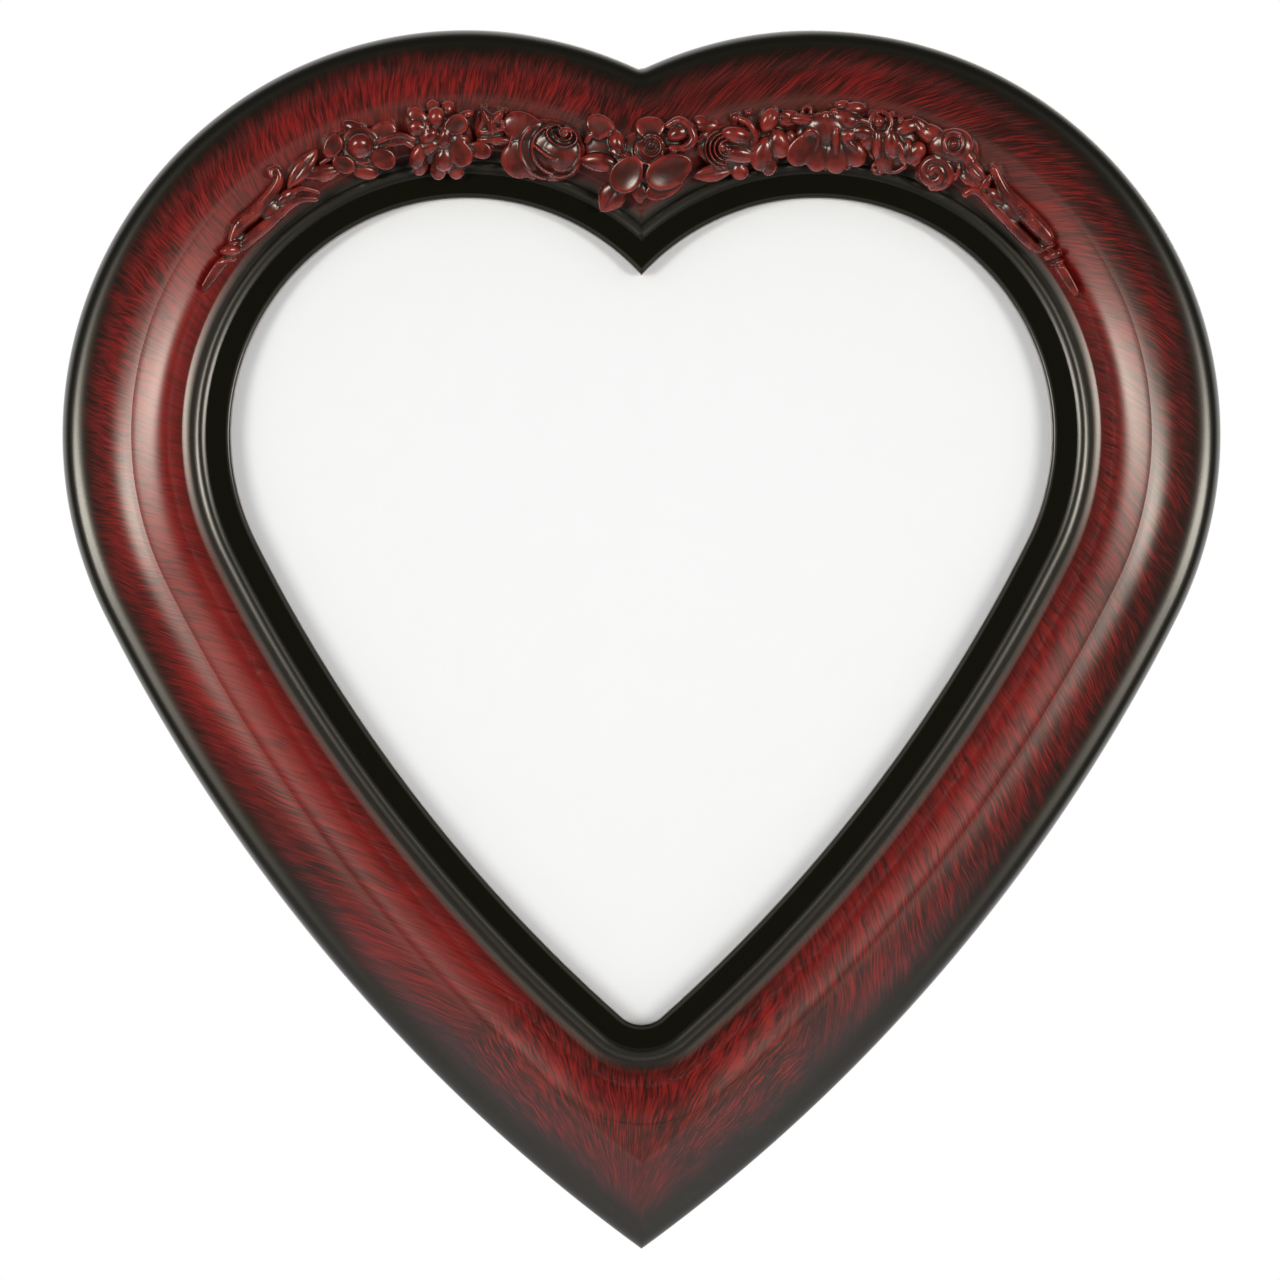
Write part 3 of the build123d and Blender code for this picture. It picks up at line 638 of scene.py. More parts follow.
# Turn of the brush strokes from the run of the moulding, in degrees, by length along the crown:
# one row for the right half, one for the left
STROKE_STATIONS = (-99.0, 0.0, 55.0, 93.0, 140.0, 185.0, 240.0, 300.0, 359.0, 421.0, 455.0)
STROKE_TURNS = {
    1: (28.0, 38.0, 45.0, 45.0, 47.0, 52.0, 58.0, 61.0, 60.0, 48.0, 34.0),
    -1: (92.0, 100.0, 103.0, 107.0, 103.0, 108.0, 128.0, 142.0, 148.0, 156.0, 163.0),
}

# Point beside the outer tip, across and up in millimetres, that the strokes at the tip run towards, and
# how far apart on the map they lie
FAN = (-6.0, -340.0)
FAN_SPREAD = 0.62

# Distance on the map between the strokes of the two halves, so that they differ
HALVES_APART = 7

# Part of a face's normal that points at the wall, above which the face is bare wood
BARE = 0.6


def all_of(bm):
    """The points, edges and faces of a bmesh."""
    return bm.verts[:] + bm.edges[:] + bm.faces[:]


def to_mesh(name, bm):
    """Turn a bmesh, which is then done with, into a mesh."""
    mesh = bpy.data.meshes.new(name)
    bm.to_mesh(mesh)
    bm.free()
    return mesh


def hand_in(name, bm, materials, node, crease=38):
    """Bring a finished bmesh to metres and make it the piece that stands for a node."""
    bmesh.ops.scale(bm, vec=(MM, MM, MM), verts=bm.verts)
    dress(name, to_mesh(name, bm), materials, node, crease)


def dress(name, mesh, materials, node, crease):
    """Make a mesh in metres the piece that stands for a node."""
    mesh.shade_smooth()
    mesh.set_sharp_from_angle(angle=radians(crease))
    for material in materials:
        mesh.materials.append(material)
    piece = bpy.data.objects.new(name, mesh)
    bpy.context.scene.collection.objects.link(piece)
    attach(piece, "frame")
    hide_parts(node)


def turn_strip(bm, profile, centre, edge, inwards, start, end, heart):
    """Spin a profile about the centre of one of the heart's arcs, with each point's place across."""
    layer = bm.verts.layers.float["across"]
    run = toward(start)
    line = []
    for distance, height in profile:
        line.append(bm.verts.new(centre + run * (edge + inwards * distance) - Vector((0, height, 0))))
        line[-1][layer] = distance if profile is heart.outer_points else heart.width - distance
    edges = [bm.edges.new(pair) for pair in zip(line, line[1:])]
    sweep = radians(end - start)
    steps = max(8, round(sweep * (edge + inwards * FACET_ACROSS) / FACET))
    bmesh.ops.spin(bm, geom=line + edges, cent=centre, axis=(0, 1, 0), angle=sweep, steps=steps)


def moulding_shell(heart):
    """The whole moulding: spun strips cut and mirrored at the middle, joined along crown and back."""
    bm = bmesh.new()
    bm.verts.layers.float.new("across")
    rim = heart.width
    for profile, centre, edge, inwards, start, end in (
        (heart.outer_points, heart.notch, heart.notch_radius, 1, 180 - heart.notch_turn, 180),
        (heart.outer_points, heart.lobe, heart.lobe_radius + rim, -1, -heart.notch_turn, heart.lobe_end),
        (heart.outer_points, heart.side, heart.side_radius + rim, -1, heart.lobe_end, heart.side_stop(rim)),
        (heart.inner_points, heart.lobe, heart.lobe_radius, 1, heart.lobe_start(0), heart.lobe_end),
        (heart.inner_points, heart.side, heart.side_radius, 1, heart.lobe_end, heart.tip_start),
        (heart.inner_points, heart.tip, heart.tip_radius, 1, heart.tip_start, 180),
    ):
        turn_strip(bm, profile, centre, edge, inwards, start, end, heart)
    bmesh.ops.remove_doubles(bm, verts=bm.verts, dist=WELD)
    bmesh.ops.bisect_plane(bm, geom=all_of(bm), dist=ON_PLANE, plane_co=(0, 0, 0), plane_no=(1, 0, 0),
                           clear_inner=True)
    for vert in bm.verts:
        if abs(vert.co.x) < ON_MIDDLE:
            vert.co.x = 0
    bmesh.ops.mirror(bm, geom=all_of(bm), merge_dist=WELD, axis="X")
    bmesh.ops.remove_doubles(bm, verts=bm.verts, dist=WELD)
    for height in (heart.crown, 0):
        level = heart.back - height
        rims = [e for e in bm.edges
                if e.is_boundary and all(abs(v.co.y - level) < ON_LEVEL for v in e.verts)]
        land = bmesh.ops.bridge_loops(bm, edges=rims)
        wide = [e for e in land["edges"] if e.calc_length() > WIDE_GAP]
        bmesh.ops.subdivide_edges(bm, edges=wide, cuts=GAP_CUTS, use_grid_fill=True)
    soften(bm, heart)
    bmesh.ops.recalc_face_normals(bm, faces=bm.faces)
    return bm


def soften(bm, heart):
    """Round the ridge off down the sides, and run the sides into each other at the tip.

    The two slopes are averaged under a bell, near the ridge only. That begins at one length along the
    crown and is full at another."""
    bell_width, bell_reach, grid_reach, step = 2.2, 7, 18, 0.1
    near, full_near, begins, full = 11, 6, 235, 325
    lowest, under_tip, tip_rounds = 17, 16, 60
    layer = bm.verts.layers.float["across"]
    ridge = heart.outer_zone + heart.crown_land / 2
    foot = RIDGE_STEPS + 1 + SLOPE_STEPS
    slopes = heart.outer_points[:foot][::-1] + [(heart.width - d, h) for d, h in heart.inner_points[:foot]]
    grid = np.arange(ridge - grid_reach, ridge + grid_reach, step)
    crisp = np.interp(grid, [d for d, _ in slopes], [h for _, h in slopes])
    bell = np.exp(-((np.arange(-bell_reach, bell_reach + step / 2, step) / bell_width) ** 2) / 2)
    round_off = np.convolve(crisp, bell / bell.sum(), "same") - crisp
    round_off *= smooth_step(-abs(grid - ridge), -near, -full_near)
    front = [v for v in bm.verts if abs(v[layer] - ridge) < near + 1 and v.co.y < heart.back - lowest]
    for vert in front:
        share = smooth_step(heart.along(vert.co.x, vert.co.z), begins, full)
        vert.co.y -= share * np.interp(vert[layer], grid, round_off)
    tip = [v for v in front if v.co.z < heart.tip.z - under_tip]
    for _ in range(tip_rounds):
        bmesh.ops.smooth_vert(bm, verts=tip, factor=0.5, use_axis_y=True)


def brush_coordinates(bm, heart):
    """Maps on the moulding: its bands, and the lanes of the brush strokes on the arms and at the tip."""
    layer = bm.verts.layers.float["across"]
    bands, strokes, fan = [bm.loops.layers.uv.new(name) for name in ("bands", "strokes", "fan")]
    slants = {hand: [1 / tan(radians(turn)) for turn in turns] for hand, turns in STROKE_TURNS.items()}
    for face in bm.faces:
        hand = 1 if face.calc_center_median().x > 0 else -1
        face.material_index = int(face.normal.y > BARE)
        for loop in face.loops:
            x, _, z = loop.vert.co
            run = heart.along(x, z)
            across = loop.vert[layer]
            out = heart.outer_zone - across
            slant = float(np.interp(run, STROKE_STATIONS, slants[hand]))
            loop[bands].uv = across / 100, run / 100
            loop[strokes].uv = (run - out * slant) / 100 + HALVES_APART * hand, out / 100
            away = x - FAN[0], z - FAN[1]
            loop[fan].uv = FAN_SPREAD * atan2(*away), hypot(*away) / 100


def hump(place, width):
    """A bell-shaped hump of height 1."""
    return 2.718 ** (-((place / width) ** 2))


class Relief:
    """Carved shapes on the flat of the garland's drawing, before they are fused into one casting.

    U runs to the right and V down, as on the drawing, and heights rise from the moulding's face,
    all in drawing units. Headings turn from the right towards the top of the drawing.
    """

    def __init__(self):
        self.bm = bmesh.new()

    def set_down(self, verts, u, v, height, heading=0, tilt=0):
        """Turn a shape, tip it up towards its heading and set it down on the drawing."""
        bmesh.ops.transform(self.bm, verts=verts, matrix=(
            Matrix.Translation((u, -v, height)) @ Matrix.Rotation(radians(heading), 4, "Z")
            @ Matrix.Rotation(radians(-tilt), 4, "Y")))

    def root(self, verts, depth=5.0):
        """Draw the lower half of a shape down, so that it stands in the moulding."""
        for vert in verts:
            if vert.co.z < 0:
                vert.co.z *= depth

    def petal(self, u, v, long, wide, heading=0, top=10, thick=5, cup=0.0, tilt=0, waist=0.25, groove=0.0):
        """A rounded petal, narrower at its root; its rim is raised by the cup, its middle line sunk."""
        verts = bmesh.ops.create_uvsphere(self.bm, u_segments=24, v_segments=14, radius=1)["verts"]
        self.root(verts)
        for vert in verts:
            x, y, z = vert.co
            reach = x * x + y * y
            sunk = groove * hump(y, 0.22) * max(0, z) * (0.4 + 0.6 * x)
            side = y * wide / 2 * (1 - waist * (1 - x) / 2)
            vert.co = (x * long / 2, side, z * thick + cup * reach - sunk)
        self.set_down(verts, u, v, top - max(thick, cup), heading, tilt)

    def petals(self, *rows):
        """Several petals, one to a row."""
        for row in rows:
            self.petal(*row)

    def bead(self, u, v, radius, top):
        """A round bead."""
        verts = bmesh.ops.create_icosphere(self.bm, subdivisions=3, radius=radius)["verts"]
        self.root(verts, 3.0)
        self.set_down(verts, u, v, top - radius)

    def leaf(self, u, v, long, wide, heading=0, top=8, thick=4, fold=0.0, rib=1.2, tilt=0):
        """A pointed leaf with a groove along its rib."""
        verts = bmesh.ops.create_uvsphere(self.bm, u_segments=28, v_segments=14, radius=1)["verts"]
        self.root(verts)
        for vert in verts:
            x, y, z = vert.co
            lean = y * (1 - 0.55 * x * x)
            lift = fold * abs(lean) - (rib * hump(lean, 0.16) if z > 0 else 0)
            vert.co = (x * long / 2, lean * wide / 2, z * thick * (1 - 0.25 * x * x) + lift)
        self.set_down(verts, u, v, top - thick - fold * 0.5, heading, tilt)

    def wire(self, *points):
        """A tapered round wire through points of place, height and radius."""
        knots = [np.array(p, float) for p in points]
        knots = [2 * knots[0] - knots[1], *knots, 2 * knots[-1] - knots[-2]]
        for a, b, c, d in zip(knots, knots[1:], knots[2:], knots[3:]):
            steps = max(2, int(np.linalg.norm((c - b)[:3]) / max(0.5, 0.4 * min(b[3], c[3]))))
            for i in range(steps + 1):
                t = i / steps
                u, v, height, radius = 0.5 * (
                    2 * b + (c - a) * t + (2 * a - 5 * b + 4 * c - d) * t**2
                    + (3 * b - a - 3 * c + d) * t**3)
                ball = bmesh.ops.create_icosphere(self.bm, subdivisions=2, radius=max(0.5, radius))
                verts = ball["verts"]
                self.root(verts, 3.0)
                self.set_down(verts, u, v, height)

    def curl(self, u, v, radius, start, sweep, height, wire, tighten=0.55):
        """A wire wound inwards about a point."""
        points = []
        for i in range(13):
            t = i / 12
            turn = radians(start + sweep * t)
            r = radius * (1 - tighten * t)
            points.append((u + r * cos(turn), v - r * sin(turn),
                           height + wire * 0.5 * t, wire * (1 - 0.25 * t)))
        self.wire(*points)

    def wrap(self, u, v, radius, start, sweep, height, lean, base, thick=2.4, squash=1.0, heading=0):
        """A curled petal of a rose: a leaning wall turned about an upright axis, lower at its ends."""
        bm = bmesh.new()
        line = [(radius + lean * t * t, height * t, thick * (1 - 0.5 * t))
                for t in (-0.8, 0, 0.3, 0.55, 0.8, 1)]
        ring = [(r + w / 2, h) for r, h, w in line] + [(r - w / 2, h) for r, h, w in reversed(line)]
        spot = [bm.verts.new((r * cos(radians(start)), r * sin(radians(start)), h)) for r, h in ring]
        blade = bm.faces.new(spot)
        bmesh.ops.spin(bm, geom=[blade, *blade.edges, *spot], cent=(0, 0, 0), axis=(0, 0, 1),
                       angle=radians(sweep), steps=22)
        for vert in bm.verts:
            turn = (degrees(atan2(vert.co.y, vert.co.x)) - start) % 360
            end = abs(2 * min(turn, sweep) / sweep - 1) if turn <= sweep + 20 else 1
            pinch = 1 - 0.10 * end**2
            vert.co = (vert.co.x * pinch, vert.co.y * pinch * squash, vert.co.z - 0.55 * height * end**3)
        bmesh.ops.holes_fill(bm, edges=[e for e in bm.edges if e.is_boundary])
        bmesh.ops.recalc_face_normals(bm, faces=bm.faces)
        bmesh.ops.transform(bm, verts=bm.verts, matrix=(
            Matrix.Translation((u, -v, base)) @ Matrix.Rotation(radians(heading), 4, "Z")))
        mesh = to_mesh("petal", bm)
        self.bm.from_mesh(mesh)
        bpy.data.meshes.remove(mesh)

    def wraps(self, *rows):
        """Several curled petals, one to a row."""
        for row in rows:
            self.wrap(*row)


def fuse(relief, grain):
    """Fuse the shapes of a relief into one skin."""
    bmesh.ops.recalc_face_normals(relief.bm, faces=relief.bm.faces)
    mesh = to_mesh("relief", relief.bm)
    lump = bpy.data.objects.new("relief", mesh)
    bpy.context.scene.collection.objects.link(lump)
    grains = lump.modifiers.new("fuse", "REMESH")
    grains.mode, grains.voxel_size = "VOXEL", grain
    fused = bpy.data.meshes.new_from_object(lump.evaluated_get(bpy.context.evaluated_depsgraph_get()))
    bpy.data.objects.remove(lump)
    bpy.data.meshes.remove(mesh)
    bm = bmesh.new()
    bm.from_mesh(fused)
    bpy.data.meshes.remove(fused)
    return bm


def hollows(mesh, scales):
    """Note on each point how far it lies under the smoothed skin, summed over a few scales.

    A scale is a number of rounds of smoothing and the depth that counts as a full hollow."""
    points, normals = np.empty(len(mesh.vertices) * 3), np.empty(len(mesh.vertices) * 3)
    mesh.vertices.foreach_get("co", points)
    mesh.vertex_normals.foreach_get("vector", normals)
    points, normals = points.reshape(-1, 3), normals.reshape(-1, 3)
    ends = np.empty(len(mesh.edges) * 2, int)
    mesh.edges.foreach_get("vertices", ends)
    near, far = np.concatenate([ends[0::2], ends[1::2]]), np.concatenate([ends[1::2], ends[0::2]])
    links = np.bincount(near, minlength=len(points))
    even, done, depth_share = points.copy(), 0, np.zeros(len(points))
    for rounds, depth in scales:
        for _ in range(rounds - done):
            total = [np.bincount(near, even[far, axis], len(points)) / links for axis in range(3)]
            even = 0.3 * even + 0.7 * np.stack(total, 1)
        done = rounds
        depth_share += ((even - points) * normals).sum(1) / depth
    layer = mesh.attributes.new("crevice", "FLOAT", "POINT")
    layer.data.foreach_set("value", depth_share)


# Rounds of smoothing that the fused grains get, and the scales at which hollows are looked for: rounds
# of smoothing and the depth of a full hollow in metres
CAST_ROUNDS = 8
HOLLOW_SCALES = ((12, 0.00030), (90, 0.0011))


def cast(node, carve):
    """Carve a flower, fuse it, drape it over the moulding and make it the piece that stands for a garland
    node.
    """
    relief = Relief()
    carve(relief)
    settings = bpy.context.scene.heart_frame
    heart, garland = Heart(settings.heart), settings.garland
    unit = garland.unit / MM
    bm = fuse(relief, garland.grain / garland.unit)
    for _ in range(CAST_ROUNDS):
        bmesh.ops.smooth_vert(bm, verts=bm.verts, factor=0.5,
                              use_axis_x=True, use_axis_y=True, use_axis_z=True)
    bmesh.ops.bisect_plane(bm, geom=all_of(bm), plane_co=(0, 0, -garland.root / garland.unit),
                           plane_no=(0, 0, 1), clear_inner=True)
    seam = [e for e in bm.edges if e.is_boundary]
    soles = bmesh.ops.holes_fill(bm, edges=seam)["faces"]
    bmesh.ops.triangulate(bm, faces=soles)
    spots = np.array([v.co for v in bm.verts])
    x = (spots[:, 0] - garland.middle_u) * unit
    z = (spots[:, 1] + garland.middle_v) * unit + (cad_box[0].z + cad_box[1].z) / 2 / MM
    y = heart.back - heart.face(x, z) - spots[:, 2] * unit
    for vert, place in zip(bm.verts, np.stack([x, y, z], 1) * MM):
        vert.co = place
    mesh = to_mesh(node + "_cast", bm)
    hollows(mesh, HOLLOW_SCALES)
    lacquer = bpy.data.materials.get("cast_cherry_lacquer") or cast_lacquer(settings.lacquer)
    dress(node + "_cast", mesh, [lacquer], node, crease=70)


def left_tail(relief):
    """Spear tip, knuckle and slit horn, with hooks and two leaves."""
    relief.wire((204.5, 288.5, 1.2, 3.6), (214, 275, 2.0, 5.0), (223, 262.5, 2.4, 5.8))
    relief.wire((203.5, 286, 3.4, 2.0), (211, 274, 5.2, 2.4), (219, 263, 6.4, 2.6))
    relief.petals(
        (230, 260, 15, 7, 8, 8, 6), (231.5, 251, 23, 14, 8, 11.5, 8), (235, 243.5, 15, 7, 14, 8.5, 6))
    relief.wire(
        (233, 240, 0.5, 5.4), (239, 227, 0.8, 7.4), (247, 219, 1.0, 7.8), (256, 212, 1.2, 7.6),
        (267, 200, 2.0, 6.8), (276, 188, 3.4, 5.6), (280, 178, 4.6, 4.6), (277, 170, 5.6, 4.2),
        (271.5, 171, 6.6, 3.6), (272, 176.5, 7.2, 3.0))
    relief.wire(
        (240, 248, 0.5, 5.4), (249, 240, 0.8, 6.8), (257.5, 233, 1.0, 7.0), (267, 225, 1.2, 6.8),
        (280, 213, 2.0, 6.4), (291, 204, 3.4, 5.6), (300, 200, 4.6, 4.4), (308, 199, 5.0, 3.8),
        (316, 199, 5.2, 3.4))
    relief.wire((286, 199, 3.0, 5.4), (295, 192, 4.8, 3.8), (304, 189, 5.6, 3.2), (318, 192, 6.0, 2.8))
    relief.petals(
        (239, 238, 16, 16, 40, 4.5, 5), (272, 210, 26, 22, 42, 7.5, 7), (285, 198, 24, 14, 40, 9.5, 7))
    relief.leaf(303, 169, 50, 19, 52, 9.5, 5.5, 1.5, 1.4)
    relief.leaf(324, 173, 44, 17, 12, 10, 6, 0.0, 1.0)


def right_tail(relief):
    """Spear tip, knuckle and slit horn, with a hook and a leaf."""
    relief.wire((1075.5, 293.5, 1.2, 3.4), (1067, 280, 2.0, 4.8), (1060, 268, 2.4, 5.4))
    relief.wire((1077, 291.5, 3.4, 2.0), (1070, 279, 5.2, 2.4), (1063, 268, 6.2, 2.6))
    relief.petals(
        (1057, 263, 15, 6.5, 22, 7.5, 6), (1053, 255.5, 20, 12, 24, 11, 8),
        (1048, 248, 15, 6.5, 26, 8, 6))
    relief.wire(
        (1049, 244, 0.5, 5.0), (1046, 236, 0.8, 7.8), (1038, 227, 1.0, 9.0), (1029, 218, 1.2, 9.2),
        (1016, 205, 1.8, 8.4), (1005, 193, 3.0, 6.8), (998, 180, 4.6, 5.4), (993.5, 170, 6.0, 5.2))
    relief.wire(
        (1041, 250, 0.5, 4.4), (1034, 247, 0.8, 5.4), (1025, 239, 1.0, 6.0), (1016, 230, 1.2, 6.2),
        (1004, 217, 2.0, 6.2), (992, 205, 3.4, 5.6), (981, 194, 4.6, 4.6), (972, 191, 5.0, 4.2),
        (966, 194, 5.2, 4.6))
    relief.petals(
        (1045, 244, 14, 14, -42, 4.5, 5), (1010, 211, 30, 22, -44, 7.5, 7),
        (996, 197, 24, 16, -42, 9.5, 7))
    relief.leaf(985, 184, 24, 10, 60, 8.5, 4.5, 0, 1.0)


def berry_spray(relief):
    """A boss in a ring of small petals, with a leaf and stems."""
    relief.bead(360.7, 146.4, 14.5, 17.5)
    relief.curl(360.7, 146.4, 17.0, 0, 360, 6.0, 2.6, 0.0)
    relief.petals(
        (361, 149, 64, 48, -5, 7.5, 6), (333.5, 147, 25, 21, 58, 13, 6, 5.0, 4),
        (344, 165, 24, 20, -20, 12.5, 6, 5.0), (365, 172, 27, 16, -8, 8.5, 6, 0, 0, 0.1, 1.5),
        (383, 159, 27, 24, -20, 10, 5, 4.0), (384, 131, 27, 21, 10, 8, 5, 2.5),
        (356, 128, 29, 15, 160, 7.5, 6))
    relief.wire((321, 164, 4, 2.2), (330, 159, 6.5, 2.8), (338, 155, 8, 2.6))
    relief.leaf(325, 174, 36, 17, 12, 8, 5, 0.5, 1.2)
    relief.wire((376, 143, 5.5, 3.6), (390, 138, 7.0, 3.4), (403, 136, 6.6, 3.2), (414, 140, 6, 3.2))
    relief.wire((378, 149, 4, 2.8), (392, 145, 5.2, 2.8), (404, 143, 5.4, 2.8), (413, 147, 5, 2.8))


def posy(relief):
    """A bunch of small rounded petals."""
    relief.petals(
        (441, 140, 64, 62, 0, 11, 9), (418, 117, 22, 18, 150, 11.5, 6, 2.5),
        (433.5, 109.5, 20, 15, 100, 9, 6), (447.5, 110.5, 20, 15, 75, 9, 6),
        (418, 129, 23, 20, 165, 15, 8), (437, 119, 23, 21, 95, 16, 8),
        (456.5, 126, 25, 23, 20, 15.5, 5, 5.5), (430, 137, 22, 18, 220, 17.5, 8),
        (445, 139, 24, 17, 262, 19, 8), (431, 147, 22, 17, 200, 16, 7), (419, 155, 30, 19, 245, 15, 8),
        (444, 159, 26, 23, 268, 16, 8), (460.5, 153, 30, 26, -60, 14.5, 6, 4.0),
        (438.5, 168, 24, 19, 265, 9.5, 6), (455, 167.5, 24, 19, -75, 9.5, 6),
        (421, 166, 21, 16, 240, 9, 6), (460, 140, 22, 15, -10, 14.5, 7),
        (480, 150, 25, 20, -15, 10, 6, 3.0), (464, 116, 22, 11, 20, 10, 6))
    relief.wire((448, 120, 11, 1.8), (449, 126, 13, 2.0), (446, 131, 15, 2.0))
    relief.wire((424, 122, 10, 1.8), (428, 127, 13, 2.0), (426, 134, 14, 2.0))


def bud(relief):
    """A small pointed bud with its petals."""
    relief.petals(
        (490, 129, 40, 36, 90, 8.5, 8), (494, 141, 36, 11, -2, 10, 6), (482, 149, 22, 18, -15, 7.5, 5.5),
        (500, 114, 20, 12, 30, 5.5, 4))
    relief.leaf(487, 119, 28, 12, 112, 12, 6, 0.0, -1.4, 8)
    relief.leaf(496, 120, 26, 12, 52, 13, 6, 0.0, -1.4, 8)
    relief.leaf(492, 125, 24, 12, 275, 14, 7, 0.0, -1.6, 4)
    relief.wire((482, 133, 7, 2.4), (492, 132, 8.5, 2.6), (504, 129, 7.5, 2.6))
    relief.wire((479, 131, 6, 2.2), (482, 124, 8, 2.2), (486, 117, 9, 2.2))
    relief.bead(503, 124, 3.2, 11)
    relief.bead(484, 109, 3.6, 8)


def left_rose(relief):
    """A full rose: broad outer petals and curled walls within."""
    relief.petals(
        (544, 149, 84, 70, -12, 9, 8), (526, 130, 50, 36, 155, 9.5, 7, 2.0),
        (523, 157, 46, 44, 215, 10.5, 7, 2.0), (560, 154, 48, 44, -20, 15.5, 12),
        (549, 150, 44, 50, -15, 12, 9))
    relief.wraps(
        (564, 134, 4.5, 60, 320, 5, 0.3, 13.0, 2.8, 0.75, -18),
        (563, 135, 9.0, 200, 290, 5, 0.6, 12.5, 2.8, 0.68, -18),
        (562, 136.5, 15.5, 110, 340, 6, 0.8, 11.5, 3.2, 0.66, -18),
        (560, 150, 29.0, 105, 150, 9, -1.5, 6.0, 3.6, 0.98),
        (557, 150, 38.0, 118, 135, 8, -1.5, 4.0, 4.0, 0.92),
        (556, 150, 48.0, 128, 112, 7, -1.0, 2.0, 4.2, 0.78),
        (558, 152, 22.5, -75, 125, 7, -0.8, 6.5, 3.0), (557, 152, 27.0, -110, 110, 7, -1.0, 3.5, 3.2))
    relief.wire((534, 146, 12, 1.6), (545, 155, 15, 1.8), (557, 161, 15.5, 1.4))
    relief.bead(565, 133, 3.6, 17.5)


def centre_bloom(relief):
    """The bloom over the notch, with its petals and leaves."""
    relief.petals(
        (648, 158, 76, 66, 0, 6.5, 6), (602, 148, 34, 44, 0, 4.5, 4),
        (601, 127, 32, 25, 155, 11.5, 5, 3.5, 4), (598, 163, 38, 22, -8, 13, 7),
        (617, 143, 25, 18, 100, 15.5, 8), (650, 129, 24, 34, 90, 8.5, 5, 3.0),
        (678, 133, 24, 20, 30, 14, 7), (706, 127, 26, 16, 10, 5.5, 4.5),
        (627, 175, 40, 36, 235, 15, 5, 7.0), (669, 172, 50, 37, 205, 15, 5, 7.0),
        (664, 189, 40, 22, 200, 9.5, 5, 3.5))
    relief.leaf(612, 196, 38, 28, 235, 9.5, 5, 0.5, 0.8)
    relief.leaf(640, 192, 24, 18, 268, 5.5, 5, 0.0, 0.8)
    relief.wire((587, 142, 7, 3.0), (591, 136, 9, 3.2), (600, 138, 9.5, 3.0), (610, 132, 9.5, 2.6))
    relief.wire(
        (668, 126, 10, 3.6), (679, 121, 12, 4.2), (690, 129, 12, 4.6), (693, 141, 11, 4.6),
        (684, 149, 10, 4.2), (671, 149, 9, 3.6))
    relief.wire((626, 157, 12, 1.8), (633, 164, 13, 1.8), (640, 172, 12, 1.8), (642, 180, 10, 1.8))
    relief.wire((661, 158, 12, 1.6), (667, 157, 13, 1.8), (675, 153, 12, 1.8))
    relief.wire((612, 152, 10, 2.4), (619, 156, 11.5, 2.4), (627, 155, 11, 2.2))
    relief.petal(650, 150, 33, 30, 0, 15, 9)
    relief.wraps(
        (651, 147, 5.0, 100, 320, 5, 0.2, 13.5, 2.6), (651, 148, 9.6, 190, 310, 6, 0.4, 12.0, 3.0),
        (649, 150, 14.5, 150, 230, 7, 0.6, 8.0, 3.4), (650, 150, 14.5, 0, 120, 6, 0.6, 7.0, 3.0))


def right_rose(relief):
    """A rose with curled walls on one side, beads and two leaves."""
    relief.petals(
        (727, 147, 62, 52, 0, 6.5, 6), (736, 136, 31, 21, -14, 18, 9), (738, 155, 36, 20, -4, 13.5, 8),
        (750, 146, 22, 28, 0, 11, 7), (704, 124, 24, 16, 150, 5, 4.5), (740, 171, 18, 20, -70, 6, 5))
    relief.wraps(
        (727, 149, 8.0, 95, 190, 6, 0.3, 9.5, 2.6), (727, 149, 12.5, 95, 185, 6.5, 0.4, 7.5, 2.8),
        (727, 149, 17.0, 105, 165, 7, 0.4, 5.0, 3.0), (727, 149, 21.5, 115, 140, 7, 0.4, 3.0, 3.0))
    relief.wire((740, 120, 9, 3.0), (750, 126, 11, 3.4), (755, 137, 10, 3.2), (753, 148, 9, 3.0))
    relief.bead(722, 148.5, 4.4, 15.0)
    relief.bead(729, 151, 3.6, 14.5)
    relief.bead(735.5, 118, 5.8, 9.0)
    relief.bead(748.5, 113.5, 4.0, 6.5)
    relief.leaf(703, 137, 22, 8, 32, 9, 4.5, 0, 1.6)
    relief.leaf(713, 173, 42, 18, 190, 6.5, 5, 0.5, 1.0)


def pansy(relief):
    """Round petals with a small leaf."""
    relief.petals(
        (770, 139, 30, 54, 0, 4.5, 4), (769, 121, 26, 20, 62, 13.5, 7, 0, 0, 0.2, 1.8),
        (763, 154, 36, 26, 252, 15, 9), (779, 144, 30, 26, 285, 14.5, 9), (769, 165, 22, 18, 265, 10, 6),
        (790, 139, 14, 20, 0, 9, 6))
    relief.leaf(787, 120, 32, 16, -4, 7.5, 5, 0, 1.4)


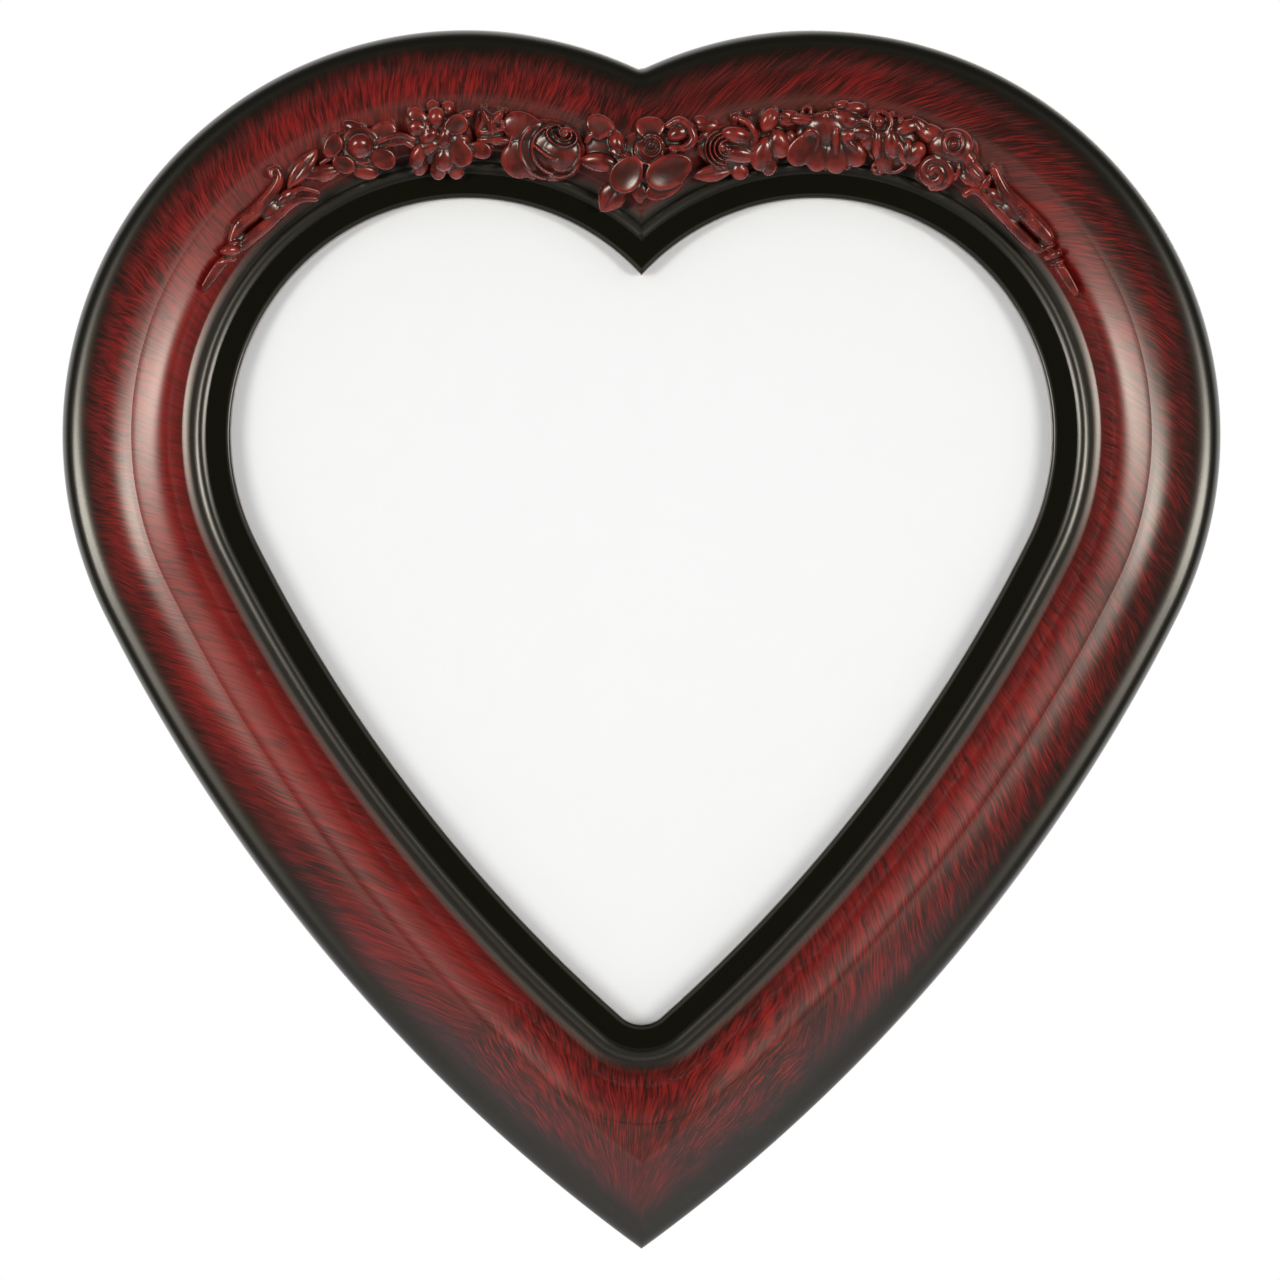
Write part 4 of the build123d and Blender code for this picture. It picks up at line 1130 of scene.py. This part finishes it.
def lobed_leaf(relief):
    """A broad leaf of rounded lobes, with veins and beads."""
    relief.petals(
        (829, 138, 70, 60, 0, 9.5, 8), (827, 130, 52, 44, -10, 16, 13), (846, 121, 38, 28, -20, 15, 11),
        (852, 110, 28, 18, 10, 12, 8), (842, 105.5, 16, 12, 0, 9.5, 6), (806, 121, 38, 15, 172, 13, 9),
        (795, 117, 28, 13, 160, 8, 6), (803, 149, 40, 30, 228, 12.5, 7, 4.0),
        (818, 157, 30, 26, 255, 12, 7, 3.5), (836, 157, 34, 28, 272, 13, 8, 3.0),
        (834, 165, 38, 16, 0, 7, 6), (852, 152, 34, 26, -52, 12.5, 8, 2.5), (847, 137, 20, 20, 0, 16, 9),
        (861.5, 133, 26, 19, -5, 15, 9))
    relief.wire(
        (800, 152, 6.5, 2.6), (803, 139, 8.5, 3.8), (811, 132, 11.5, 4.2), (818, 138, 12.0, 3.8),
        (815, 151, 9.5, 3.2))
    relief.wire((836, 130, 13.5, 3.0), (835, 140, 13.0, 4.4), (836, 152, 10.5, 4.0), (836, 162, 6.5, 3.0))
    relief.wire((844, 141, 12.0, 3.0), (851, 146, 11.0, 4.0), (858, 155, 8.5, 3.6), (860, 163, 5.5, 2.6))
    relief.wire((853, 125, 10.5, 3.0), (859, 121.5, 11.5, 3.4), (868, 123, 9.5, 3.0))
    relief.bead(825.5, 116, 4.6, 14.0)
    relief.bead(834, 113, 4.2, 14.0)
    relief.curl(806.5, 111.5, 4.6, 200, 330, 5.5, 2.0, 0.1)


def bellflower(relief):
    """A bell of long petals, with beads and small curls."""
    relief.petals(
        (888, 142, 58, 54, -20, 9.5, 8), (877, 143, 32, 14, 268, 14.5, 9),
        (891, 143, 34, 22, 275, 15.5, 10), (901, 151, 30, 13, 288, 13.5, 8),
        (909, 152, 28, 14, 280, 12.5, 8), (885, 158, 28, 24, 270, 10, 7), (904, 129, 30, 18, 25, 10.5, 7),
        (868, 140, 22, 18, 240, 12, 8), (916, 153, 24, 20, 60, 13.5, 8))
    relief.bead(878.5, 122.5, 6.6, 15.0)
    relief.curl(880, 124, 11.0, 110, 330, 9.5, 3.0, 0.0)
    relief.wire((886, 119, 8, 2.2), (890, 124, 9, 2.4), (887, 130, 10, 2.2))
    relief.bead(891, 115, 3.6, 7.5)
    relief.bead(900, 121, 3.6, 8.0)
    relief.curl(878.5, 168, 6.0, 20, 340, 3.0, 2.2, 0.1)
    relief.bead(878.5, 169, 2.8, 5.5)
    relief.wire((884, 171, 2.5, 2.0), (895, 172, 3.5, 2.2), (905, 167, 4.5, 2.4))
    relief.curl(913, 159, 7.5, 150, -230, 7.0, 3.2, 0.3)
    relief.leaf(924, 131, 36, 16, 128, 11.5, 6, 0.5, 1.8)


def scroll_flower(relief):
    """A round flower with a ram's-horn curl and leaves."""
    relief.petals(
        (952, 150, 54, 50, -30, 10, 8), (951, 146, 44, 40, 0, 14.5, 10, 3.0),
        (935, 137, 40, 24, 150, 12, 9), (934, 173, 38, 36, 0, 8, 7), (966, 158, 22, 18, -50, 11.5, 6))
    relief.curl(953, 145, 9.5, 60, 330, 14.5, 2.8, 0.05)
    relief.bead(953, 145, 4.6, 18.0)
    relief.curl(934, 173.5, 14.0, 55, 460, 5.5, 6.4, 0.78)
    relief.wire(
        (940, 160, 8, 4.6), (948, 168, 8.5, 5.0), (949, 179, 7.5, 4.8), (942, 186, 6, 4.6),
        (932, 187, 5, 4.4))
    relief.wire((958, 164, 8, 2.2), (958, 172, 8.5, 2.6), (955, 179, 7, 2.4))
    relief.leaf(973, 169, 38, 16, -45, 11, 6, 0.5, 2.0)
    relief.leaf(970, 180, 34, 14, -35, 8.5, 5.5, 0.5, 1.4)


class HEARTFRAME_OT_moulding(bpy.types.Operator):
    """Build the heart moulding in brushed cherry lacquer, with bare wood behind."""

    bl_idname = "heart_frame.moulding"
    bl_label = "Moulding"

    def execute(self, context):
        settings = context.scene.heart_frame
        heart = Heart(settings.heart)
        bm = moulding_shell(heart)
        brush_coordinates(bm, heart)
        hand_in("moulding", bm, [brushed_lacquer(settings.lacquer), bare_wood()], "heart_moulding")
        return {"FINISHED"}


class HEARTFRAME_OT_garland_tails(bpy.types.Operator):
    """Cast the two tails of the garland: spear, knuckle, slit horn and hooks."""

    bl_idname = "heart_frame.garland_tails"
    bl_label = "Garland tails"

    def execute(self, context):
        cast("garland_tail_left", left_tail)
        cast("garland_tail_right", right_tail)
        return {"FINISHED"}


class HEARTFRAME_OT_garland_left(bpy.types.Operator):
    """Cast the berry spray, the posy, the bud and the rose on the left."""

    bl_idname = "heart_frame.garland_left"
    bl_label = "Garland, left"

    def execute(self, context):
        cast("garland_berries_left", berry_spray)
        cast("garland_posy_left", posy)
        cast("garland_bud_left", bud)
        cast("garland_rose_left", left_rose)
        return {"FINISHED"}


class HEARTFRAME_OT_garland_centre(bpy.types.Operator):
    """Cast the bloom over the notch, with its petals and leaves."""

    bl_idname = "heart_frame.garland_centre"
    bl_label = "Garland, centre"

    def execute(self, context):
        cast("garland_centre_bloom", centre_bloom)
        return {"FINISHED"}


class HEARTFRAME_OT_garland_right(bpy.types.Operator):
    """Cast the rose, the pansy, the lobed leaf, the bellflower and the scroll on the right."""

    bl_idname = "heart_frame.garland_right"
    bl_label = "Garland, right"

    def execute(self, context):
        cast("garland_rose_right", right_rose)
        cast("garland_pansy_right", pansy)
        cast("garland_leaf_right", lobed_leaf)
        cast("garland_bellflower_right", bellflower)
        cast("garland_scroll_right", scroll_flower)
        return {"FINISHED"}


def heart_sheet(heart, front, back, edge):
    """A sheet cut to the rebate, between two depths, with its front edge eased."""
    offset = heart.rebate_width - heart.sheet_play
    bm = bmesh.new()
    for centre, radius, start, end in (
        (heart.lobe, heart.lobe_radius + offset, heart.lobe_start(offset), heart.lobe_end),
        (heart.side, heart.side_radius + offset, heart.lobe_end, heart.tip_start),
        (heart.tip, heart.tip_radius + offset, heart.tip_start, 180),
    ):
        spot = bm.verts.new(centre + toward(start) * radius)
        sweep = radians(end - start)
        bmesh.ops.spin(bm, geom=[spot], cent=centre, axis=(0, 1, 0), angle=sweep,
                       steps=max(6, round(sweep * radius / SHEET_FACET)))
    for vert in bm.verts:
        vert.co.y = back
        if abs(vert.co.x) < SHEET_WELD:
            vert.co.x = 0
    bmesh.ops.remove_doubles(bm, verts=bm.verts, dist=SHEET_WELD)
    bmesh.ops.mirror(bm, geom=bm.verts[:] + bm.edges[:], merge_dist=SHEET_WELD, axis="X")
    bmesh.ops.remove_doubles(bm, verts=bm.verts, dist=SHEET_WELD)
    face = bmesh.ops.contextual_create(bm, geom=bm.edges[:])["faces"]
    lifted = bmesh.ops.extrude_face_region(bm, geom=face)["geom"]
    raised = [g for g in lifted if isinstance(g, bmesh.types.BMVert)]
    bmesh.ops.translate(bm, vec=(0, front - back, 0), verts=raised)
    bmesh.ops.recalc_face_normals(bm, faces=bm.faces)
    rim = [e for e in bm.edges if all(abs(v.co.y - front) < 1e-4 for v in e.verts)]
    bmesh.ops.bevel(bm, geom=rim, offset=edge, affect="EDGES", segments=2, profile=0.5, material=-1)
    return bm


class HEARTFRAME_OT_glazing(bpy.types.Operator):
    """Lay the glass, the white card and the hardboard back into the rebate."""

    bl_idname = "heart_frame.glazing"
    bl_label = "Glazing"

    def execute(self, context):
        heart = Heart(context.scene.heart_frame.heart)
        seam = 0.06
        for name, node, slot, material, edge in (
            ("glass_sheet", "glass_pane", "glass", clear_glass(), 0.35),
            ("card_sheet", "insert_card", "card", white_card(), 0.08),
            ("back_sheet", "backing_board", "hardboard", hardboard(), 0.3),
        ):
            low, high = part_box(node)
            sheet = heart_sheet(heart, low.y / MM + seam, high.y / MM, edge)
            hand_in(name, sheet, [material], node, crease=3)
        return {"FINISHED"}


class HEARTFRAME_OT_hardware(bpy.types.Operator):
    """Finish the turn buttons, hangers, screws and bumpers at the back."""

    bl_idname = "heart_frame.hardware"
    bl_label = "Hardware"

    def execute(self, context):
        screws = zinc_plate("zinc_screws", (1800.0, 1800.0, 1800.0))
        finishes = {
            "turn_button": zinc_plate("zinc_buttons", (2600.0, 900.0, 240.0)),
            "turn_button_screws": screws,
            "hanger_strap": zinc_plate("zinc_straps", (2600.0, 900.0, 200.0)),
            "hanger_ring": zinc_plate("zinc_rings", (1500.0, 1500.0, 1500.0)),
            "hanger_screws": screws,
            "wall_bumper": black_rubber(),
        }
        for node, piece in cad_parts.items():
            for prefix, material in finishes.items():
                if node.startswith(prefix):
                    piece.data.materials.clear()
                    piece.data.materials.append(material)
        return {"FINISHED"}


# Width of the view in drawing units, and the camera's sensor in millimetres
PICTURE = 1280
SENSOR = 36

# The floor in metres: its radius, its depth under the frame, and the distances from the middle
# between which it fades out
FLOOR_RADIUS = 0.75
FLOOR_DROP = 0.062
FLOOR_FADE = (0.20, 0.52)

# Shares of the even light: as it falls on the frame, and as lacquer, metal and glass mirror the dim
# room before the frame
EVEN_LIGHT = (1.0, 1.0, 1.12)
DIM_ROOM = (0.036, 0.036, 0.030)
WHITE = (1.0, 1.0, 1.0)


def aim_camera(scene, middle):
    """Set the camera level before the frame, with the picture's field at the depth of its rim."""
    heart, drawing, studio = [getattr(scene.heart_frame, name) for name in ("heart", "garland", "studio")]
    unit = studio.field / PICTURE
    view = bpy.data.cameras.new("camera")
    view.sensor_width = SENSOR
    view.lens = SENSOR * (studio.distance - (heart.standoff + heart.side_height)) / studio.field
    view.clip_end = 50
    camera = bpy.data.objects.new("camera", view)
    camera.location = ((PICTURE / 2 - drawing.middle_u) * unit, -studio.distance,
                       middle.z + (drawing.middle_v - PICTURE / 2) * unit)
    camera.rotation_euler = (pi / 2, 0, 0)
    scene.collection.objects.link(camera)
    scene.camera = camera


def hang_lamps(scene, middle):
    """Hang a lamp on each side before the frame and one behind it, aimed at its middle.

    Each keeps the roll that the shortest turn gives it, so the two front strips lean."""
    studio = scene.heart_frame.studio
    for name, place, size, power in (
        ("left_lamp", (-1.45, -2.15, middle.z - 0.06), (1.12, 0.42), studio.lamp),
        ("right_lamp", (1.45, -2.15, middle.z - 0.06), (1.12, 0.42), studio.lamp),
        ("back_lamp", (0.9, 2.2, 1.4), (1.6, 1.6), studio.back_lamp),
    ):
        light = bpy.data.lights.new(name, "AREA")
        light.shape, light.energy, light.color = "RECTANGLE", power, studio.glow
        light.size, light.size_y = size
        lamp = bpy.data.objects.new(name, light)
        lamp.location = place
        aim = Vector((0, 0, middle.z)) - Vector(place)
        lamp.rotation_euler = aim.to_track_quat("-Z", "Z").to_euler()
        lamp.visible_camera = False
        scene.collection.objects.link(lamp)


def lay_floor(scene, bottom):
    """Lay a round pale floor under the frame, which fades out and keeps the frame's shadow."""
    bm = bmesh.new()
    bmesh.ops.create_circle(bm, cap_ends=True, segments=96, radius=FLOOR_RADIUS)
    bmesh.ops.translate(bm, vec=(0, 0, bottom - FLOOR_DROP), verts=bm.verts)
    mesh = to_mesh("floor", bm)
    material, paint = finish("pale_floor")
    x, y, _ = paint.parts(paint.object_place())
    reach = (x ** 2.0 + y ** 2.0) ** 0.5
    cloth = paint.node("ShaderNodeBsdfDiffuse", None, {"Color": (*scene.heart_frame.studio.paper, 1.0)})
    paint.surface(paint.node("ShaderNodeMixShader", None, {
        0: paint.ease(reach, *FLOOR_FADE), 1: cloth, 2: paint.node("ShaderNodeBsdfTransparent")}))
    mesh.materials.append(material)
    floor = bpy.data.objects.new("floor", mesh)
    scene.collection.objects.link(floor)


def light_room(scene):
    """Even light from all round, and a white background for the camera, mirrors and glass."""
    fill = scene.heart_frame.studio.fill
    world = bpy.data.worlds.new("studio")
    world.use_nodes = True
    scene.world = world
    paint = Paint(world.node_tree)
    path = paint.node("ShaderNodeLightPath")
    way = paint.node("ShaderNodeTexCoord", output="Generated")
    behind = paint.ease(paint.parts(way)[1], -0.05, 0.30)
    mirrored = paint.mix(behind, tuple(fill * c for c in DIM_ROOM), WHITE)
    bounced = path.out("Is Glossy Ray").most(path.out("Is Transmission Ray"))
    level = paint.mix(bounced, tuple(fill * c for c in EVEN_LIGHT), mirrored)
    sky = paint.mix(path.out("Is Camera Ray"), level, WHITE)
    paint.surface(paint.node("ShaderNodeBackground", None, {0: sky}), "ShaderNodeOutputWorld")


class HEARTFRAME_OT_stage(bpy.types.Operator):
    """Set the camera, the lamps, the floor and the white background."""

    bl_idname = "heart_frame.stage"
    bl_label = "Stage"

    def execute(self, context):
        low, high = cad_box
        middle = (low + high) / 2
        aim_camera(context.scene, middle)
        hang_lamps(context.scene, middle)
        lay_floor(context.scene, low.z)
        light_room(context.scene)
        context.scene.view_settings.view_transform = "Standard"
        return {"FINISHED"}


class HEARTFRAME_PT_panel(bpy.types.Panel):
    """The frame's settings and the steps that build it."""

    bl_idname = "HEARTFRAME_PT_panel"
    bl_label = "Heart frame"
    bl_space_type = "VIEW_3D"
    bl_region_type = "UI"
    bl_category = "Heart frame"

    def draw(self, context):
        settings = context.scene.heart_frame
        for group in (settings.heart, settings.lacquer, settings.garland, settings.studio):
            box = self.layout.box()
            for name in type(group).__annotations__:
                box.prop(group, name)
        for step in STEPS:
            self.layout.operator(step.bl_idname)


STEPS = (
    HEARTFRAME_OT_stage,
    HEARTFRAME_OT_moulding,
    HEARTFRAME_OT_garland_tails,
    HEARTFRAME_OT_garland_left,
    HEARTFRAME_OT_garland_centre,
    HEARTFRAME_OT_garland_right,
    HEARTFRAME_OT_glazing,
    HEARTFRAME_OT_hardware,
)
CLASSES = (
    HeartSettings, LacquerSettings, GarlandSettings, StudioSettings, FrameSettings, *STEPS,
    HEARTFRAME_PT_panel,
)


def register():
    for cls in CLASSES:
        bpy.utils.register_class(cls)
    bpy.types.Scene.heart_frame = PointerProperty(type=FrameSettings)


def unregister():
    del bpy.types.Scene.heart_frame
    for cls in reversed(CLASSES):
        bpy.utils.unregister_class(cls)


def main():
    """Build the frame in order."""
    register()
    for step in STEPS:
        group, name = step.bl_idname.split(".")
        getattr(getattr(bpy.ops, group), name)()


if __name__ == "__main__":
    main()
